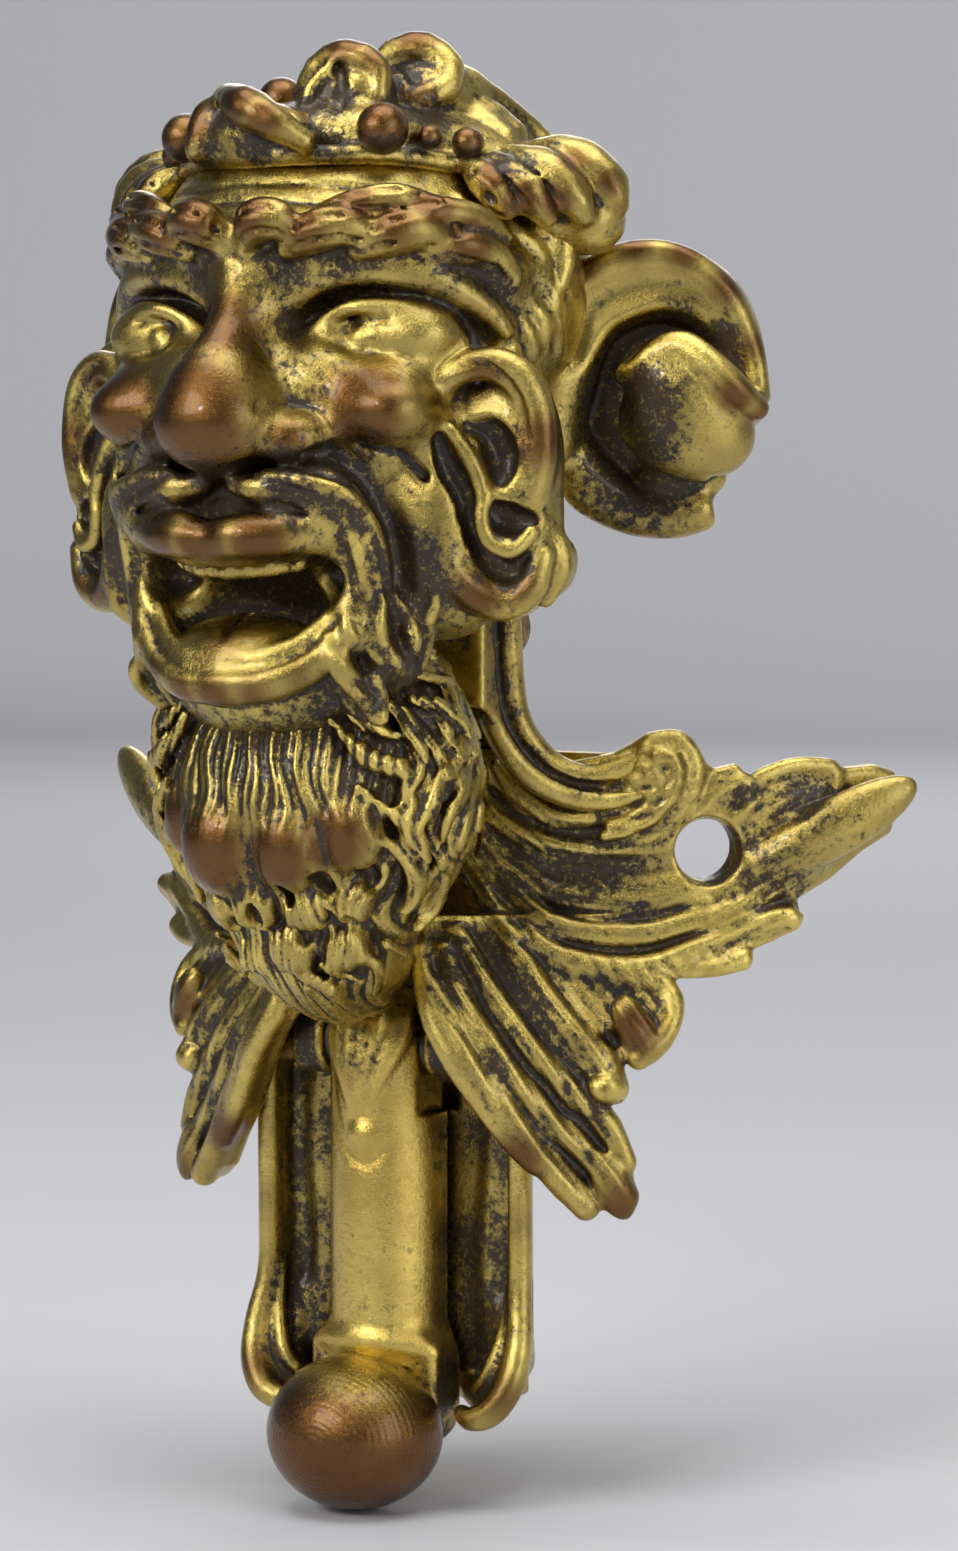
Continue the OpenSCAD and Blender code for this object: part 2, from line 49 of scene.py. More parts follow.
class Clay:
    """A block of modelling clay: distances to its surface in mm on a regular grid, negative inside."""

    def __init__(self, low, high, step):
        self.low = np.array(low, float)
        self.step = step
        self.size = np.ceil((np.array(high) - self.low) / step).astype(int) + 1
        # nothing there yet, so every place counts as 6 mm outside
        self.field = np.full(self.size, 6.0, np.float32)

    def window(self, low, high):
        """The part of the grid within a box, and its coordinates in mm."""
        first = np.clip(np.floor((np.array(low) - self.low) / self.step).astype(int), 0, self.size)
        last = np.clip(np.ceil((np.array(high) - self.low) / self.step).astype(int) + 1, 0, self.size)
        axes = [np.float32(self.low[i] + self.step * np.arange(first[i], last[i])) for i in range(3)]
        where = tuple(slice(a, b) for a, b in zip(first, last))
        return where, np.meshgrid(*axes, indexing="ij", sparse=True)

    def blend(self, where, distance, soft, cut):
        """Joins a shape on or cuts it away, with a fillet as wide as soft."""
        old = self.field[where]
        new = -distance if cut else distance
        ease = np.maximum(soft - np.abs(old - new), 0) ** 2 / (4 * soft)
        self.field[where] = np.maximum(old, new) + ease if cut else np.minimum(old, new) - ease

    def lump(self, centre, radii, soft=1.0, turn=(0, 0, 0), cut=False):
        """A rounded lump with three radii, turned in degrees about x, y and z."""
        radii = np.array(radii, np.float32) * np.ones(3, np.float32)
        reach = radii.max() + soft + 1
        where, axes = self.window(np.array(centre) - reach, np.array(centre) + reach)
        offset = [a - np.float32(c) for a, c in zip(axes, centre)]
        if any(turn):
            rows = np.array(Euler([math.radians(a) for a in turn]).to_matrix().transposed(), np.float32)
            offset = [r[0] * offset[0] + r[1] * offset[1] + r[2] * offset[2] for r in rows]
        near = np.sqrt(sum((o / r) ** 2 for o, r in zip(offset, radii)))
        slope = np.sqrt(sum((o / r ** 2) ** 2 for o, r in zip(offset, radii)))
        self.blend(where, near * (near - 1) / np.maximum(slope, 1e-6), soft, cut)

    def rope(self, points, soft=0.5, cut=False):
        """A rounded strand on a smooth curve through points (x, y, z, radius)."""
        ends = np.array([points[0], *points, points[-1]], float)
        line = []
        for a, b, c, d in zip(ends, ends[1:], ends[2:], ends[3:]):
            for t in np.linspace(0, 1, 7)[:-1]:
                line.append(b + t * (c - a) / 2 + t * t * (a - 2.5 * b + 2 * c - d / 2)
                    + t ** 3 * (d - a + 3 * (b - c)) / 2)
        line = np.array([*line, ends[-1]], np.float32)
        reach = line[:, 3].max() + soft + 1
        where, axes = self.window(line[:, :3].min(0) - reach, line[:, :3].max(0) + reach)
        best = np.full(self.field[where].shape, 9, np.float32)
        for a, b in zip(line, line[1:]):
            way = b - a
            long = max(float(way[:3] @ way[:3]), 1e-9)
            off = [x - p for x, p in zip(axes, a)]
            t = np.clip((off[0] * way[0] + off[1] * way[1] + off[2] * way[2]) / long, 0, 1)
            gap = np.sqrt((off[0] - t * way[0]) ** 2 + (off[1] - t * way[1]) ** 2
                + (off[2] - t * way[2]) ** 2)
            np.minimum(best, gap - a[3] - t * way[3], out=best)
        self.blend(where, best, soft, cut)

    def read(self, values, points):
        """Values on the grid, read at points between its corners."""
        at = np.clip((points - self.low) / self.step, 0, np.array(self.size) - 1.001)
        cell = at.astype(int)
        part = at - cell
        out = np.zeros(len(points))
        for corner in np.ndindex(2, 2, 2):
            weight = np.prod(np.where(corner, part, 1 - part), axis=1)
            out += weight * values[tuple((cell + corner).T)]
        return out

    def bend(self, reach, points):
        """How the surface bends over a reach in mm: above zero on ridges, below zero in hollows, per mm."""
        cells = max(1, round(reach / self.step))
        out = np.clip(self.field, -3, 3)
        for axis in (0, 0, 1, 1, 2, 2):
            out = sum(np.roll(out, shift, axis) for shift in range(-cells, cells + 1)) / (2 * cells + 1)
        spread = ((2 * cells + 1) ** 2 - 1) / 6 * self.step ** 2
        return self.read(out, points) * 2 / spread

    def fire(self, name, rubs_and_shade=(), place=lambda p: p):
        """The finished piece, with its edges and hollows, where it is rubbed, and where it is grimy or
        carries painted shade.
        """
        grid = openvdb.FloatGrid()
        grid.copyFromArray(self.field)
        points, quads = grid.convertToQuads(0.0)
        points = points * self.step + self.low
        placed = place(points) * mm
        a, b, c, d = (placed[quads[:, i]] for i in range(4))
        if np.einsum("ij,ij->", a, np.cross(b, c) + np.cross(c, d)) < 0:
            quads = quads[:, ::-1]
        mesh = bpy.data.meshes.new(name)
        mesh.from_pydata(placed, [], quads)
        mesh.shade_smooth()
        # positive spots rub the gilding to copper; negative spots are grime and painted shade
        rub, grime_and_shade = np.zeros(len(points)), np.zeros(len(points))
        for x, y, z, reach, amount in rubs_and_shade:
            spot = abs(amount) * np.exp(-((points - (x, y, z)) ** 2).sum(1) / reach ** 2)
            np.maximum(rub if amount > 0 else grime_and_shade, spot, out=rub if amount > 0 else grime_and_shade)
        fine, broad = self.bend(0.25, points), self.bend(0.9, points)
        for key, values in (("edge", fine), ("hollow", broad), ("rub", rub), ("grime_and_shade", grime_and_shade)):
            mesh.attributes.new(key, "FLOAT", "POINT").data.foreach_set("value", values.astype(np.float32))
        piece = bpy.data.objects.new(name, mesh)
        bpy.context.collection.objects.link(piece)
        return piece


def linear(code):
    """An sRGB colour code as the linear values that a shader takes."""
    parts = [int(code[i:i + 2], 16) / 255 for i in (1, 3, 5)]
    return [c / 12.92 if c <= 0.04045 else ((c + 0.055) / 1.055) ** 2.4 for c in parts] + [1]


def add(tree, kind, inputs, **settings):
    """A shader node with its settings, and its inputs linked or set."""
    made = tree.nodes.new(kind)
    for key, value in settings.items():
        setattr(made, key, value)
    for key, value in inputs.items():
        if isinstance(value, bpy.types.NodeSocket):
            tree.links.new(value, made.inputs[key])
        else:
            made.inputs[key].default_value = value
    return made


def bronze(name, gilt="#E2CA6C", shade="#AC9650", tarnish="#685934", copper="#6F4E28", patina="#231B12",
        dirt=0.0, bare=0.0, patchy=0.5):
    """Gilt bronze: gold on open faces, dark patina in hollows, grime and painted shade where the spots mark
    them, copper where the gilding is rubbed off.
    """
    material = bpy.data.materials.new(name)
    material.use_nodes = True
    tree = material.node_tree
    tree.nodes.clear()
    here = add(tree, "ShaderNodeTexCoord", {}).outputs["Object"]

    def noise(size, detail, rough=0.6):
        # size is the pattern's grain in mm
        grain = {"Vector": here, "Scale": 1 / (size * mm), "Detail": detail, "Roughness": rough}
        return add(tree, "ShaderNodeTexNoise", grain).outputs["Fac"]

    def calc(how, a, b=0.0, c=0.0):
        return add(tree, "ShaderNodeMath", {0: a, 1: b, 2: c}, operation=how).outputs[0]

    def ease(value, low, high):
        span = {"Value": value, "From Min": low, "From Max": high}
        return add(tree, "ShaderNodeMapRange", span, interpolation_type="SMOOTHSTEP").outputs["Result"]

    def mix(amount, a, b):
        # the colour sockets of this node share their names with others, so they go by number
        return add(tree, "ShaderNodeMix", {0: amount, 6: a, 7: b}, data_type="RGBA").outputs[2]

    def given(key):
        return add(tree, "ShaderNodeAttribute", {}, attribute_name=key).outputs["Fac"]

    edge, hollow, rub, grime_and_shade = given("edge"), given("hollow"), given("rub"), given("grime_and_shade")
    cloud, speckle, grit = noise(7, 4), noise(0.8, 6, 0.76), noise(0.22, 3)
    # open faces and sharp ridges stay gilt, while grooves and the spots of grime and painted shade hold
    # patina with a speckled border
    groove = calc("MAXIMUM", calc("MULTIPLY_ADD", hollow, -1.0, -0.22), 0.0)
    fine = calc("MAXIMUM", calc("MULTIPLY_ADD", edge, -1.0, -0.4), 0.0)
    depth = calc("MULTIPLY_ADD", groove, 0.66, calc("MULTIPLY_ADD", fine, 0.16, -0.12))
    depth = calc("MULTIPLY_ADD", calc("MAXIMUM", calc("ADD", edge, -0.3), 0.0), -0.22, depth)
    depth = calc("MULTIPLY_ADD", speckle, 1.25, depth)
    depth = calc("MULTIPLY_ADD", calc("SUBTRACT", cloud, 0.5), patchy, depth)
    depth = calc("ADD", calc("MULTIPLY_ADD", grime_and_shade, 0.5, depth), dirt + 0.25)
    # specks of gold left inside the patina, about 0.3 mm wide
    specks = ease(noise(0.5, 3, 0.7), 0.56, 0.66)
    dull = ease(depth, 0.70, 1.02)
    dark = calc("MULTIPLY", ease(depth, 0.92, 1.05), calc("MULTIPLY_ADD", specks, -0.7, 1.0))
    worn = calc("ADD", rub, calc("MULTIPLY_ADD", cloud, 0.7, calc("MULTIPLY", speckle, 0.3)))
    worn = ease(calc("ADD", worn, bare), 0.65, 1.4)
    bright = calc("ADD", calc("MULTIPLY", cloud, 0.6), calc("MULTIPLY", speckle, 0.4))
    gold = mix(ease(bright, 0.38, 0.62), linear(shade), linear(gilt))
    gold = mix(calc("MULTIPLY", dull, 0.75), gold, linear(tarnish))
    aged = mix(ease(cloud, 0.38, 0.62), linear(patina), linear("#3C2C1A"))
    tone = mix(dark, mix(worn, gold, linear(copper)), aged)
    rough = calc("MULTIPLY_ADD", speckle, 0.24, calc("MULTIPLY_ADD", worn, -0.02, 0.13))
    rough = calc("MULTIPLY_ADD", dark, 0.25, rough)
    metal = calc("MULTIPLY_ADD", dark, -0.6, 1.0)
    height = calc("MULTIPLY_ADD", speckle, 0.7, calc("MULTIPLY", grit, 0.3))
    relief = {"Height": height, "Strength": 0.7, "Distance": 0.16 * mm}
    bump = add(tree, "ShaderNodeBump", relief).outputs[0]
    face = {"Base Color": tone, "Roughness": rough, "Metallic": metal, "Normal": bump}
    shader = add(tree, "ShaderNodeBsdfPrincipled", {**face, "Coat Weight": 0.3, "Coat Roughness": 0.1})
    add(tree, "ShaderNodeOutputMaterial", {"Surface": shader.outputs[0]})
    return material


gilt_bronze = bronze("gilt_bronze")

# outline of the right-hand casting in the wing's own plane: along the wing and up, mm from the screw hole
wing_outline = np.array([(-22.0, 4.0), (-16.8, 6.3), (-11.2, 7.4), (-7.8, 8.1), (-5.8, 9.2), (-4.3, 9.7),
    (-2.6, 9.4), (-1.1, 7.7), (0.4, 6.8), (2.2, 7.2), (3.2, 6.1), (4.8, 6.8), (7.5, 7.3), (10.2, 7.2),
    (11.0, 6.7), (13.8, 6.9), (15.6, 6.3), (17.1, 5.3), (16.0, 2.9), (15.3, 1.2), (13.0, -0.1),
    (10.1, -2.4), (7.3, -4.0), (7.6, -5.3), (7.1, -6.2), (5.2, -7.3), (3.4, -8.0), (3.0, -9.4),
    (0.4, -9.8), (-2.8, -9.9), (-3.2, -10.3), (-2.6, -11.6), (-3.0, -13.5), (-3.9, -15.4), (-6.0, -16.8),
    (-7.3, -16.5), (-7.5, -17.2), (-7.2, -18.7), (-7.5, -19.9), (-8.6, -20.0), (-7.6, -21.3),
    (-6.7, -24.3), (-6.3, -27.1), (-6.9, -29.5), (-8.6, -28.8), (-9.5, -28.2), (-10.4, -28.8),
    (-12.7, -27.5), (-14.7, -25.0), (-17.9, -21.7), (-20.9, -17.6), (-23.3, -13.9), (-24.2, -9.4),
    (-23.5, -4.9), (-22.0, -0.1)])


def inside(outline, a, b):
    """Distance in a plane from each point (a, b) to an outline, negative inside."""
    near = np.full(np.broadcast(a, b).shape, 1e9)
    within = np.zeros(near.shape, bool)
    for (ax, ay), (bx, by) in zip(outline, np.roll(outline, -1, 0)):
        wx, wy = bx - ax, by - ay
        t = np.clip(((a - ax) * wx + (b - ay) * wy) / max(wx * wx + wy * wy, 1e-9), 0, 1)
        near = np.minimum(near, (a - ax - t * wx) ** 2 + (b - ay - t * wy) ** 2)
        if by != ay:
            within ^= ((ay > b) != (by > b)) & (a < wx * (b - ay) / wy + ax)
    return np.where(within, -1, 1) * np.sqrt(near)


def wing_front(u, v):
    """How far the leaf's face stands out of the wing's plane: the lower leaves lie in front of the rims."""
    t = np.clip((-v - 5) / 12, 0, 1)
    return 4.0 * t * t * (3 - 2 * t) - 0.012 * (u + 2) ** 2 * (v > -5)


# place of the right screw hole, and the sweep of the wing back to the door
hole_x, hole_y = 25, -11.99
sweep_cos, sweep_sin = math.cos(math.radians(33)), math.sin(math.radians(33))
wing = Clay((-26, -31, -5.5), (18.5, 11.5, 7), 0.24)
where, (u, v, w) = wing.window((-30, -40, -10), (30, 20, 10))
half_thick = 1.3
sheet = np.abs(w - wing_front(u, v) + half_thick) - half_thick
border = inside(wing_outline, u, v)
round_over = np.maximum(0.8 - np.abs(border - sheet), 0) ** 2 / 0.8
wing.field[where] = np.maximum(border, sheet) + 0.25 * round_over
# raised and sunk strands: height over the face, first and last radius, and the line
ridges = [
    (0.1, 0.8, 0.9, [(-17.3, 6.8), (-16.0, 5.0), (-13.4, 3.4), (-10.8, 2.8), (-8.2, 3.4), (-6.5, 4.7),
        (-5.6, 6.7), (-5.0, 8.3)]),
    (0.3, 0.6, 0.7, [(-4.8, 9.1), (-2.6, 9.3), (-1.3, 7.7), (-1.3, 5.7), (-2.3, 3.7), (-4.3, 1.8),
        (-7.1, 0.5), (-10.8, 0.3), (-14.9, 1.4), (-17.9, 3.1)]),
    (0.0, 0.7, 0.5, [(-19.6, 2.3), (-16.4, -1.3), (-12.7, -3.4), (-8.6, -4.1), (-4.8, -3.8), (-2.6, -3.4),
        (-0.6, -4.2)]),
    (0.1, 0.8, 1.0, [(-19.9, 1.6), (-17.1, -2.6), (-13.0, -5.6), (-8.6, -6.7), (-4.1, -6.3), (0.4, -5.2),
        (4.1, -3.7), (8.2, -1.5), (11.9, 1.4)]),
    (0.2, 0.9, 1.0, [(-20.3, 0.7), (-17.5, -3.8), (-14.2, -7.2), (-10.1, -8.9), (-5.6, -9.2),
        (-1.5, -8.0), (2.6, -6.1), (6.5, -5.4)]),
    (0.1, 0.5, 0.8, [(-5.6, -9.2), (-2.6, -9.5), (0.4, -9.3), (2.6, -8.6)]),
    (0.2, 0.7, 0.9, [(-14.2, -7.3), (-10.8, -9.1), (-7.5, -9.7), (-4.5, -10.4), (-3.2, -11.7),
        (-3.4, -13.5), (-4.5, -15.2), (-6.1, -16.4)]),
    (0.2, 0.9, 1.2, [(-18.6, -2.7), (-16.4, -6.8), (-13.8, -10.9), (-11.2, -14.2), (-9.1, -16.5),
        (-8.1, -18.7)]),
    (0.2, 0.8, 0.8, [(-20.7, -6.4), (-17.9, -10.9), (-14.5, -15.7), (-11.5, -19.1), (-8.6, -21.7),
        (-7.1, -24.7)]),
    (0.3, 0.8, 0.9, [(-21.8, -7.9), (-19.4, -13.1), (-16.4, -17.6), (-13.0, -21.7), (-9.7, -24.7),
        (-7.0, -27.6)]),
    (0.3, 0.9, 1.2, [(-22.4, -10.9), (-20.5, -15.4), (-18.3, -18.7), (-15.6, -22.1), (-13.8, -24.7),
        (-11.2, -27.5), (-10.4, -28.3)]),
    (0.3, 0.9, 0.9, [(-23.7, -7.9), (-22.9, -12.4), (-21.1, -16.5), (-18.8, -19.8), (-16.4, -23.0),
        (-14.7, -24.7)]),
    (0.0, 0.5, 0.5, [(3.4, -0.4), (5.6, 1.7), (8.2, 3.1), (10.1, 4.2), (10.3, 6.6), (8.6, 7.1),
        (6.3, 7.0), (4.1, 6.1)]),
    (0.1, 0.55, 0.55, [(-0.9, 3.2), (0.4, 4.7), (2.2, 5.7), (3.1, 5.3), (3.1, 3.7), (2.4, 3.0)]),
    (1.2, 0.5, 0.45, [(-4.4, 8.0), (-3.1, 7.7), (-2.8, 6.1), (-3.7, 4.0), (-5.7, 2.3), (-8.6, 1.4)]),
    (1.0, 0.45, 0.4, [(-4.9, 6.6), (-4.4, 5.3), (-5.7, 3.4), (-8.2, 2.2)])]
grooves = [
    (0.3, 0.5, 0.7, [(-17.9, 5.0), (-14.9, 2.2), (-11.2, 1.6), (-7.8, 2.0), (-5.6, 3.7)]),
    (0.9, 0.9, 1.5, [(-17.9, 1.8), (-14.2, -1.4), (-10.4, -1.8), (-6.3, -1.6), (-2.6, -0.8)]),
    (0.3, 0.5, 0.5, [(-18.3, -1.2), (-14.5, -4.4), (-10.1, -5.4), (-5.6, -5.1), (-1.9, -4.5)]),
    (0.3, 0.5, 0.6, [(-18.6, -1.9), (-15.3, -5.8), (-10.8, -7.8), (-6.0, -7.9), (-1.1, -6.6), (3.4, -4.9)]),
    (0.2, 0.6, 0.9, [(-16.8, -5.7), (-14.5, -9.0), (-11.9, -12.7), (-10.4, -14.8), (-8.4, -14.8)]),
    (0.2, 0.5, 0.55, [(-19.4, -6.4), (-16.0, -11.4), (-12.7, -15.9), (-11.0, -18.0)]),
    (0.2, 0.5, 0.55, [(-20.5, -8.6), (-17.1, -14.0), (-13.8, -18.5), (-10.4, -21.9), (-8.6, -24.3)]),
    (0.2, 0.45, 0.5, [(-21.2, -11.6), (-17.9, -16.8), (-14.9, -20.9), (-11.9, -24.3), (-9.7, -26.5)]),
    (0.5, 0.6, 0.7, [(-7.5, -10.9), (-6.0, -12.7), (-5.6, -14.6)]),
    (0.3, 0.4, 0.4, [(-0.7, 6.1), (0.7, 6.3), (2.2, 6.6)])]
for strands, sink, soft, cut in ((grooves, 0, 0.5, True), (ridges, 0.45, 0.7, False)):
    for height, first, last, line in strands:
        radii = np.linspace(first, last, len(line))
        strand = [(*at, float(wing_front(*at)) + height - sink, r) for at, r in zip(line, radii)]
        wing.rope(strand, soft, cut)
# scroll, smooth tip, turned-over lobes and their hollows
wing.lump((-3.6, 6.2, -0.7), (2.4, 3.2, 1.3), 1.2, (0, 0, -15))
wing.lump((10.2, 2.0, -0.2), (7.6, 2.4, 1.5), 1.1, (0, 0, 29))
wing.lump((7.2, 4.2, 0.5), (3.0, 1.4, 1.0), 0.4, (0, 0, 33), True)
wing.lump((-6.3, -13.9, 3.4), (1.5, 3.0, 1.3), 0.5, (0, 0, 30))
wing.lump((-8.8, -18.6, 4.4), (1.5, 1.3, 1.2), 0.5)
wing.lump((-8.3, -26.6, 4.2), (1.5, 3.0, 1.0), 0.5, (0, 0, 25))
# chased lines about 1.2 mm apart, along the wing above and down the leaves below
where, (u, v, w) = wing.window((-30, -40, -10), (30, 20, 10))
rib = v - np.interp(u, [-19.9, -17.1, -13, -8.6, -4.1, 0.4, 4.1, 8.2, 11.9],
    [1.6, -2.6, -5.6, -6.7, -6.3, -5.2, -3.7, -1.5, 1.4])
hang = (21 * u + 13 * v) / 24.7 + 0.3 * np.sin(0.5 * v)
lower = np.clip((-v - 7) / 3, 0, 1)
clear = np.clip((np.sqrt(u * u + v * v) - 3.6) / 2, 0, 1) * np.clip((9 - u) / 3, 0, 1)
chased = 0.05 * (1 - lower) * clear * np.cos(2 * math.pi * (rib + 0.2 * np.sin(0.9 * u)) / 1.2)
chased = chased + 0.06 * lower * np.cos(2 * math.pi * hang / 1.25)
wing.field[where] += np.float32(chased * np.clip(-border - 0.5, 0, 1))
# the countersunk hole, and the door plane that nothing passes
hole_r = 2.5
bore = np.sqrt((u - 0.28 * w) ** 2 + (v + 0.12 * w) ** 2) - hole_r - 0.5 * np.clip(w + 1.0, 0, 2)
wing.blend(where, bore, 0.2, True)
wing.blend(where, -hole_y - sweep_sin * u + sweep_cos * w + 0 * v, 0.2, True)
# painted shade inside the bore of the screw hole, darker patina in the hollows between the strands, and
# copper rubbed on the turned-over lobes
wing_rubs_and_shade = [(1.8, -0.8, -1.6, 1.5, -1.4), (2.2, 0.8, -1.6, 1.4, -1.4), (0.6, -2.2, -1.8, 1.4, -1.2),
    (-12, -1.6, 0, 4, -0.5), (-8, -1.5, 0, 4, -0.5), (-16, -2, 1, 4, -0.8), (-16, -10, 3, 4, -0.5),
    (-12, -6.5, 1, 3, -0.4), (6, -1, 0, 3, -0.35), (8, 4.5, 0, 2.5, -0.6), (3, 4.5, 0, 2, -0.5),
    (-20, -8, 3, 4, -0.7), (-6.3, -13.9, 5, 3, 1.0), (-7.5, -28, 4.5, 3, 0.9), (-16, -24.5, 4, 3, 1.0),
    (-8.8, -18.6, 5.5, 1.6, 0.3)]
leaf_grime = [(-16, -8), (-13, -12.5), (-11.2, -15), (-18, -9), (-15, -14), (-12.4, -18.5), (-10, -21.5),
    (-20, -11), (-17, -16.5), (-13.5, -21.5), (-10.5, -24.5), (-9, -10.5), (-12, -4), (-6, -4.6),
    (-5, 3.2), (-9, 4.6), (-12, 4.4)]
wing_rubs_and_shade += [(*at, float(wing_front(*at)), 1.8, -0.6) for at in leaf_grime]
leaf_bronze = bronze("leaf_bronze", dirt=0.05, patchy=0.7)
for side, name in ((1, "leaf_wing_right"), (-1, "leaf_wing_left")):
    def on_door(p):
        u, v, w = p.T
        along, back = u * sweep_cos + w * sweep_sin, u * sweep_sin - w * sweep_cos
        return np.stack((side * (hole_x + along), hole_y + back, v), 1)
    piece = wing.fire(name, wing_rubs_and_shade, on_door)
    piece.data.materials.append(leaf_bronze)
    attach(piece, "plate")
    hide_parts("leaf_plate")

# Strike plate: the channel the striker hangs in, a flat bronze floor with
# rolled rims that end below in curled lobes. Screwed on in front of the wings.
channel = Clay((-17.5, -26.5, -50), (17.5, -14, 6), 0.3)
# axis of the hinge pin and radius of the arm, which lugs, beard and striker share
pin_y, pin_z, arm_r = -21.03, -16.0, 4.9


def pair_of(clay, points, soft=0.5, cut=False):
    """A strand on the right and its mirror image on the left."""
    for side in (1, -1):
        clay.rope([(side * x, *rest) for x, *rest in points], soft, cut)


def mirrored(spots):
    """Rubbed and grimy spots on the right and the same on the left."""
    return [(side * x, *rest) for side in (1, -1) for x, *rest in spots]


def slab(across, middle, half):
    """Distance to a flat slab, negative inside."""
    return np.abs(across - middle) - half


where, (x, y, z) = channel.window((-30, -40, -60), (30, 0, 20))
low = np.maximum(slab(x, 0, 10.5), slab(z, -26.6, 18.6))
tongue = np.maximum(slab(x, 0, 8.5), slab(z, -3, 7))
channel.field[where] = np.maximum(np.minimum(low, tongue), slab(y, -17.2, 1.15))
# side walls, rolled rims that curl in below, and the soft ridges beside the arm
pair_of(channel, [(10.9, -18.4, -8.5, 1.0), (10.9, -18.4, -20, 1.0), (11.0, -18.4, -42, 1.0)], 0.8)
pair_of(channel, [(9.6, -18.2, -38, 1.0), (10.6, -18.8, -41.5, 1.4), (10.4, -19.8, -43.6, 1.4)], 0.8)
pair_of(channel, [(11.4, -19.4, -8.5, 0.9), (11.5, -19.4, -20, 0.9), (11.5, -19.4, -42, 0.9)], 0.8)
pair_of(channel, [(11.8, -20.4, -8.6, 0.9), (12.05, -20.6, -18, 1.0), (12.05, -20.5, -30, 1.0),
    (12.1, -20.6, -36, 1.0), (12.6, -21.6, -40.2, 1.1), (12.3, -22.6, -43.2, 1.2),
    (11.0, -23.3, -45.4, 1.2), (9.2, -23.4, -46.2, 1.0), (7.9, -22.8, -45.9, 0.7)], 0.7)
pair_of(channel, [(6.0, -18.2, -44.6, 1.1), (8.0, -19.6, -45.2, 1.2), (9.8, -21.0, -45.0, 1.2),
    (11.4, -21.2, -43.2, 1.3), (11.9, -20.3, -40.5, 1.1)], 0.9)
pair_of(channel, [(11.0, -20.2, -35.6, 0.4), (10.8, -21.0, -39.6, 0.6), (9.9, -21.7, -42.6, 0.7),
    (8.6, -21.7, -44.0, 0.5)], 0.5)
pair_of(channel, [(8.4, -17.9, -12, 0.5), (8.6, -18.0, -24, 0.7), (8.0, -18.0, -34, 0.8),
    (8.6, -18.2, -42, 0.7)], 1.4)
pair_of(channel, [(10.2, -19.2, -12, 0.4), (10.3, -19.3, -24, 0.5), (10.2, -19.4, -33, 0.4),
    (10.1, -20.4, -41, 0.1)], 0.8, True)
# hinge lugs beside the window for the knuckle, the thin wall behind it and the bore of the pin
from_pin = np.sqrt((y - pin_y) ** 2 + (z - pin_z) ** 2)
lug_r, pin_r = 3, 1.5
lug = np.minimum(from_pin - lug_r, np.maximum(slab(z, pin_z, lug_r), slab(y, -18.5, 2.5)))
channel.blend(where, np.maximum(lug, slab(np.abs(x), 6.4, 1.5)), 0.2, False)
window = np.maximum(slab(x, 0, arm_r), slab(z, pin_z, 5.6))
channel.blend(where, np.maximum(window, slab(y, -17, 4)), 0.2, True)
back_wall = np.maximum(slab(x, 0, 5.6), slab(z, pin_z, 6.4))
channel.blend(where, np.maximum(back_wall, slab(y, -15.4, 0.5)), 0.2, False)
channel.blend(where, np.maximum(slab(x, 0, 9), from_pin - pin_r), 0.2, True)
# positive spots rub the curled lobes and the rims to copper; negative ones darken the lugs and the grooves
# by the rims, and put painted shade on the floor beside the arm and inside the lobes
strike_rubs_and_shade = mirrored([(12, -23.6, -44, 3, 0.8), (12.8, -21.5, -30, 3, 0.5), (6.4, -22, -16, 4, -1.0),
    (8, -18.4, -24, 4, -0.5), (7.5, -18.4, -33, 4, -0.5), (8, -18.4, -41, 4, -0.7),
    (8.8, -20.6, -43.4, 2.4, -1.0), (10.4, -19, -20, 3, -0.5), (10.6, -19.4, -37, 3, -0.8)])
strike = channel.fire("strike_plate_channel", strike_rubs_and_shade)
strike.data.materials.append(bronze("dark_bronze", dirt=0.06, patchy=0.9))
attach(strike, "plate")
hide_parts("strike_plate")

# Neck: the swan-necked bracket that stands on the door, passes behind the
# wings and carries the head. Cast bronze with a moulded edge down each side.
swan = Clay((-23, -27.5, -11), (23, 0.6, 28), 0.3)
where, (x, y, z) = swan.window((-30, -40, -20), (30, 10, 40))
back_curve = [(-10.9 * math.sin(a), 5 + 21 * (1 - math.cos(a))) for a in np.linspace(0, math.pi / 2, 10)]
front = [(-24.4, 26), (-24.4, 12), (-16.6, 8.3), (-13.6, 8.3), (-13.6, -10)]
side_view = inside(np.array([(0, -10), *back_curve, *front]), y, z)
lift = np.clip((z - 1) / 6, 0, 1)
half = 9 * (1 - lift) + lift * np.clip(10.4 - 0.6 * (y + 20), 2.6, 10.8)
swan.field[where] = np.maximum(side_view, np.abs(x) - half)
# two moulded bands come down each edge and sweep out into the scroll on the wing
pair_of(swan, [(10.9, -21.6, 27, 1.2), (10.9, -21, 22, 1.2), (10.9, -20.5, 17.3, 1.2),
    (10.8, -20, 14, 1.2), (11.1, -19.5, 11, 1.2), (12.2, -18.8, 8.6, 1.2), (14.0, -17.8, 6.8, 1.15),
    (16.3, -16.6, 6.1, 1.1), (18.6, -15.2, 6.9, 1.05), (20.2, -14.2, 7.9, 0.9)], 0.6)
pair_of(swan, [(9.6, -23.4, 26, 1.1), (9.6, -22.8, 20.6, 1.1), (9.6, -22.3, 16.5, 1.1),
    (9.7, -21.8, 12.5, 1.1), (10.6, -21.0, 9.2, 1.1), (12.5, -19.8, 6.4, 1.1), (15.2, -18.0, 4.6, 1.0),
    (18.0, -16.4, 4.2, 0.8), (20.4, -15.0, 4.8, 0.5)], 0.6)
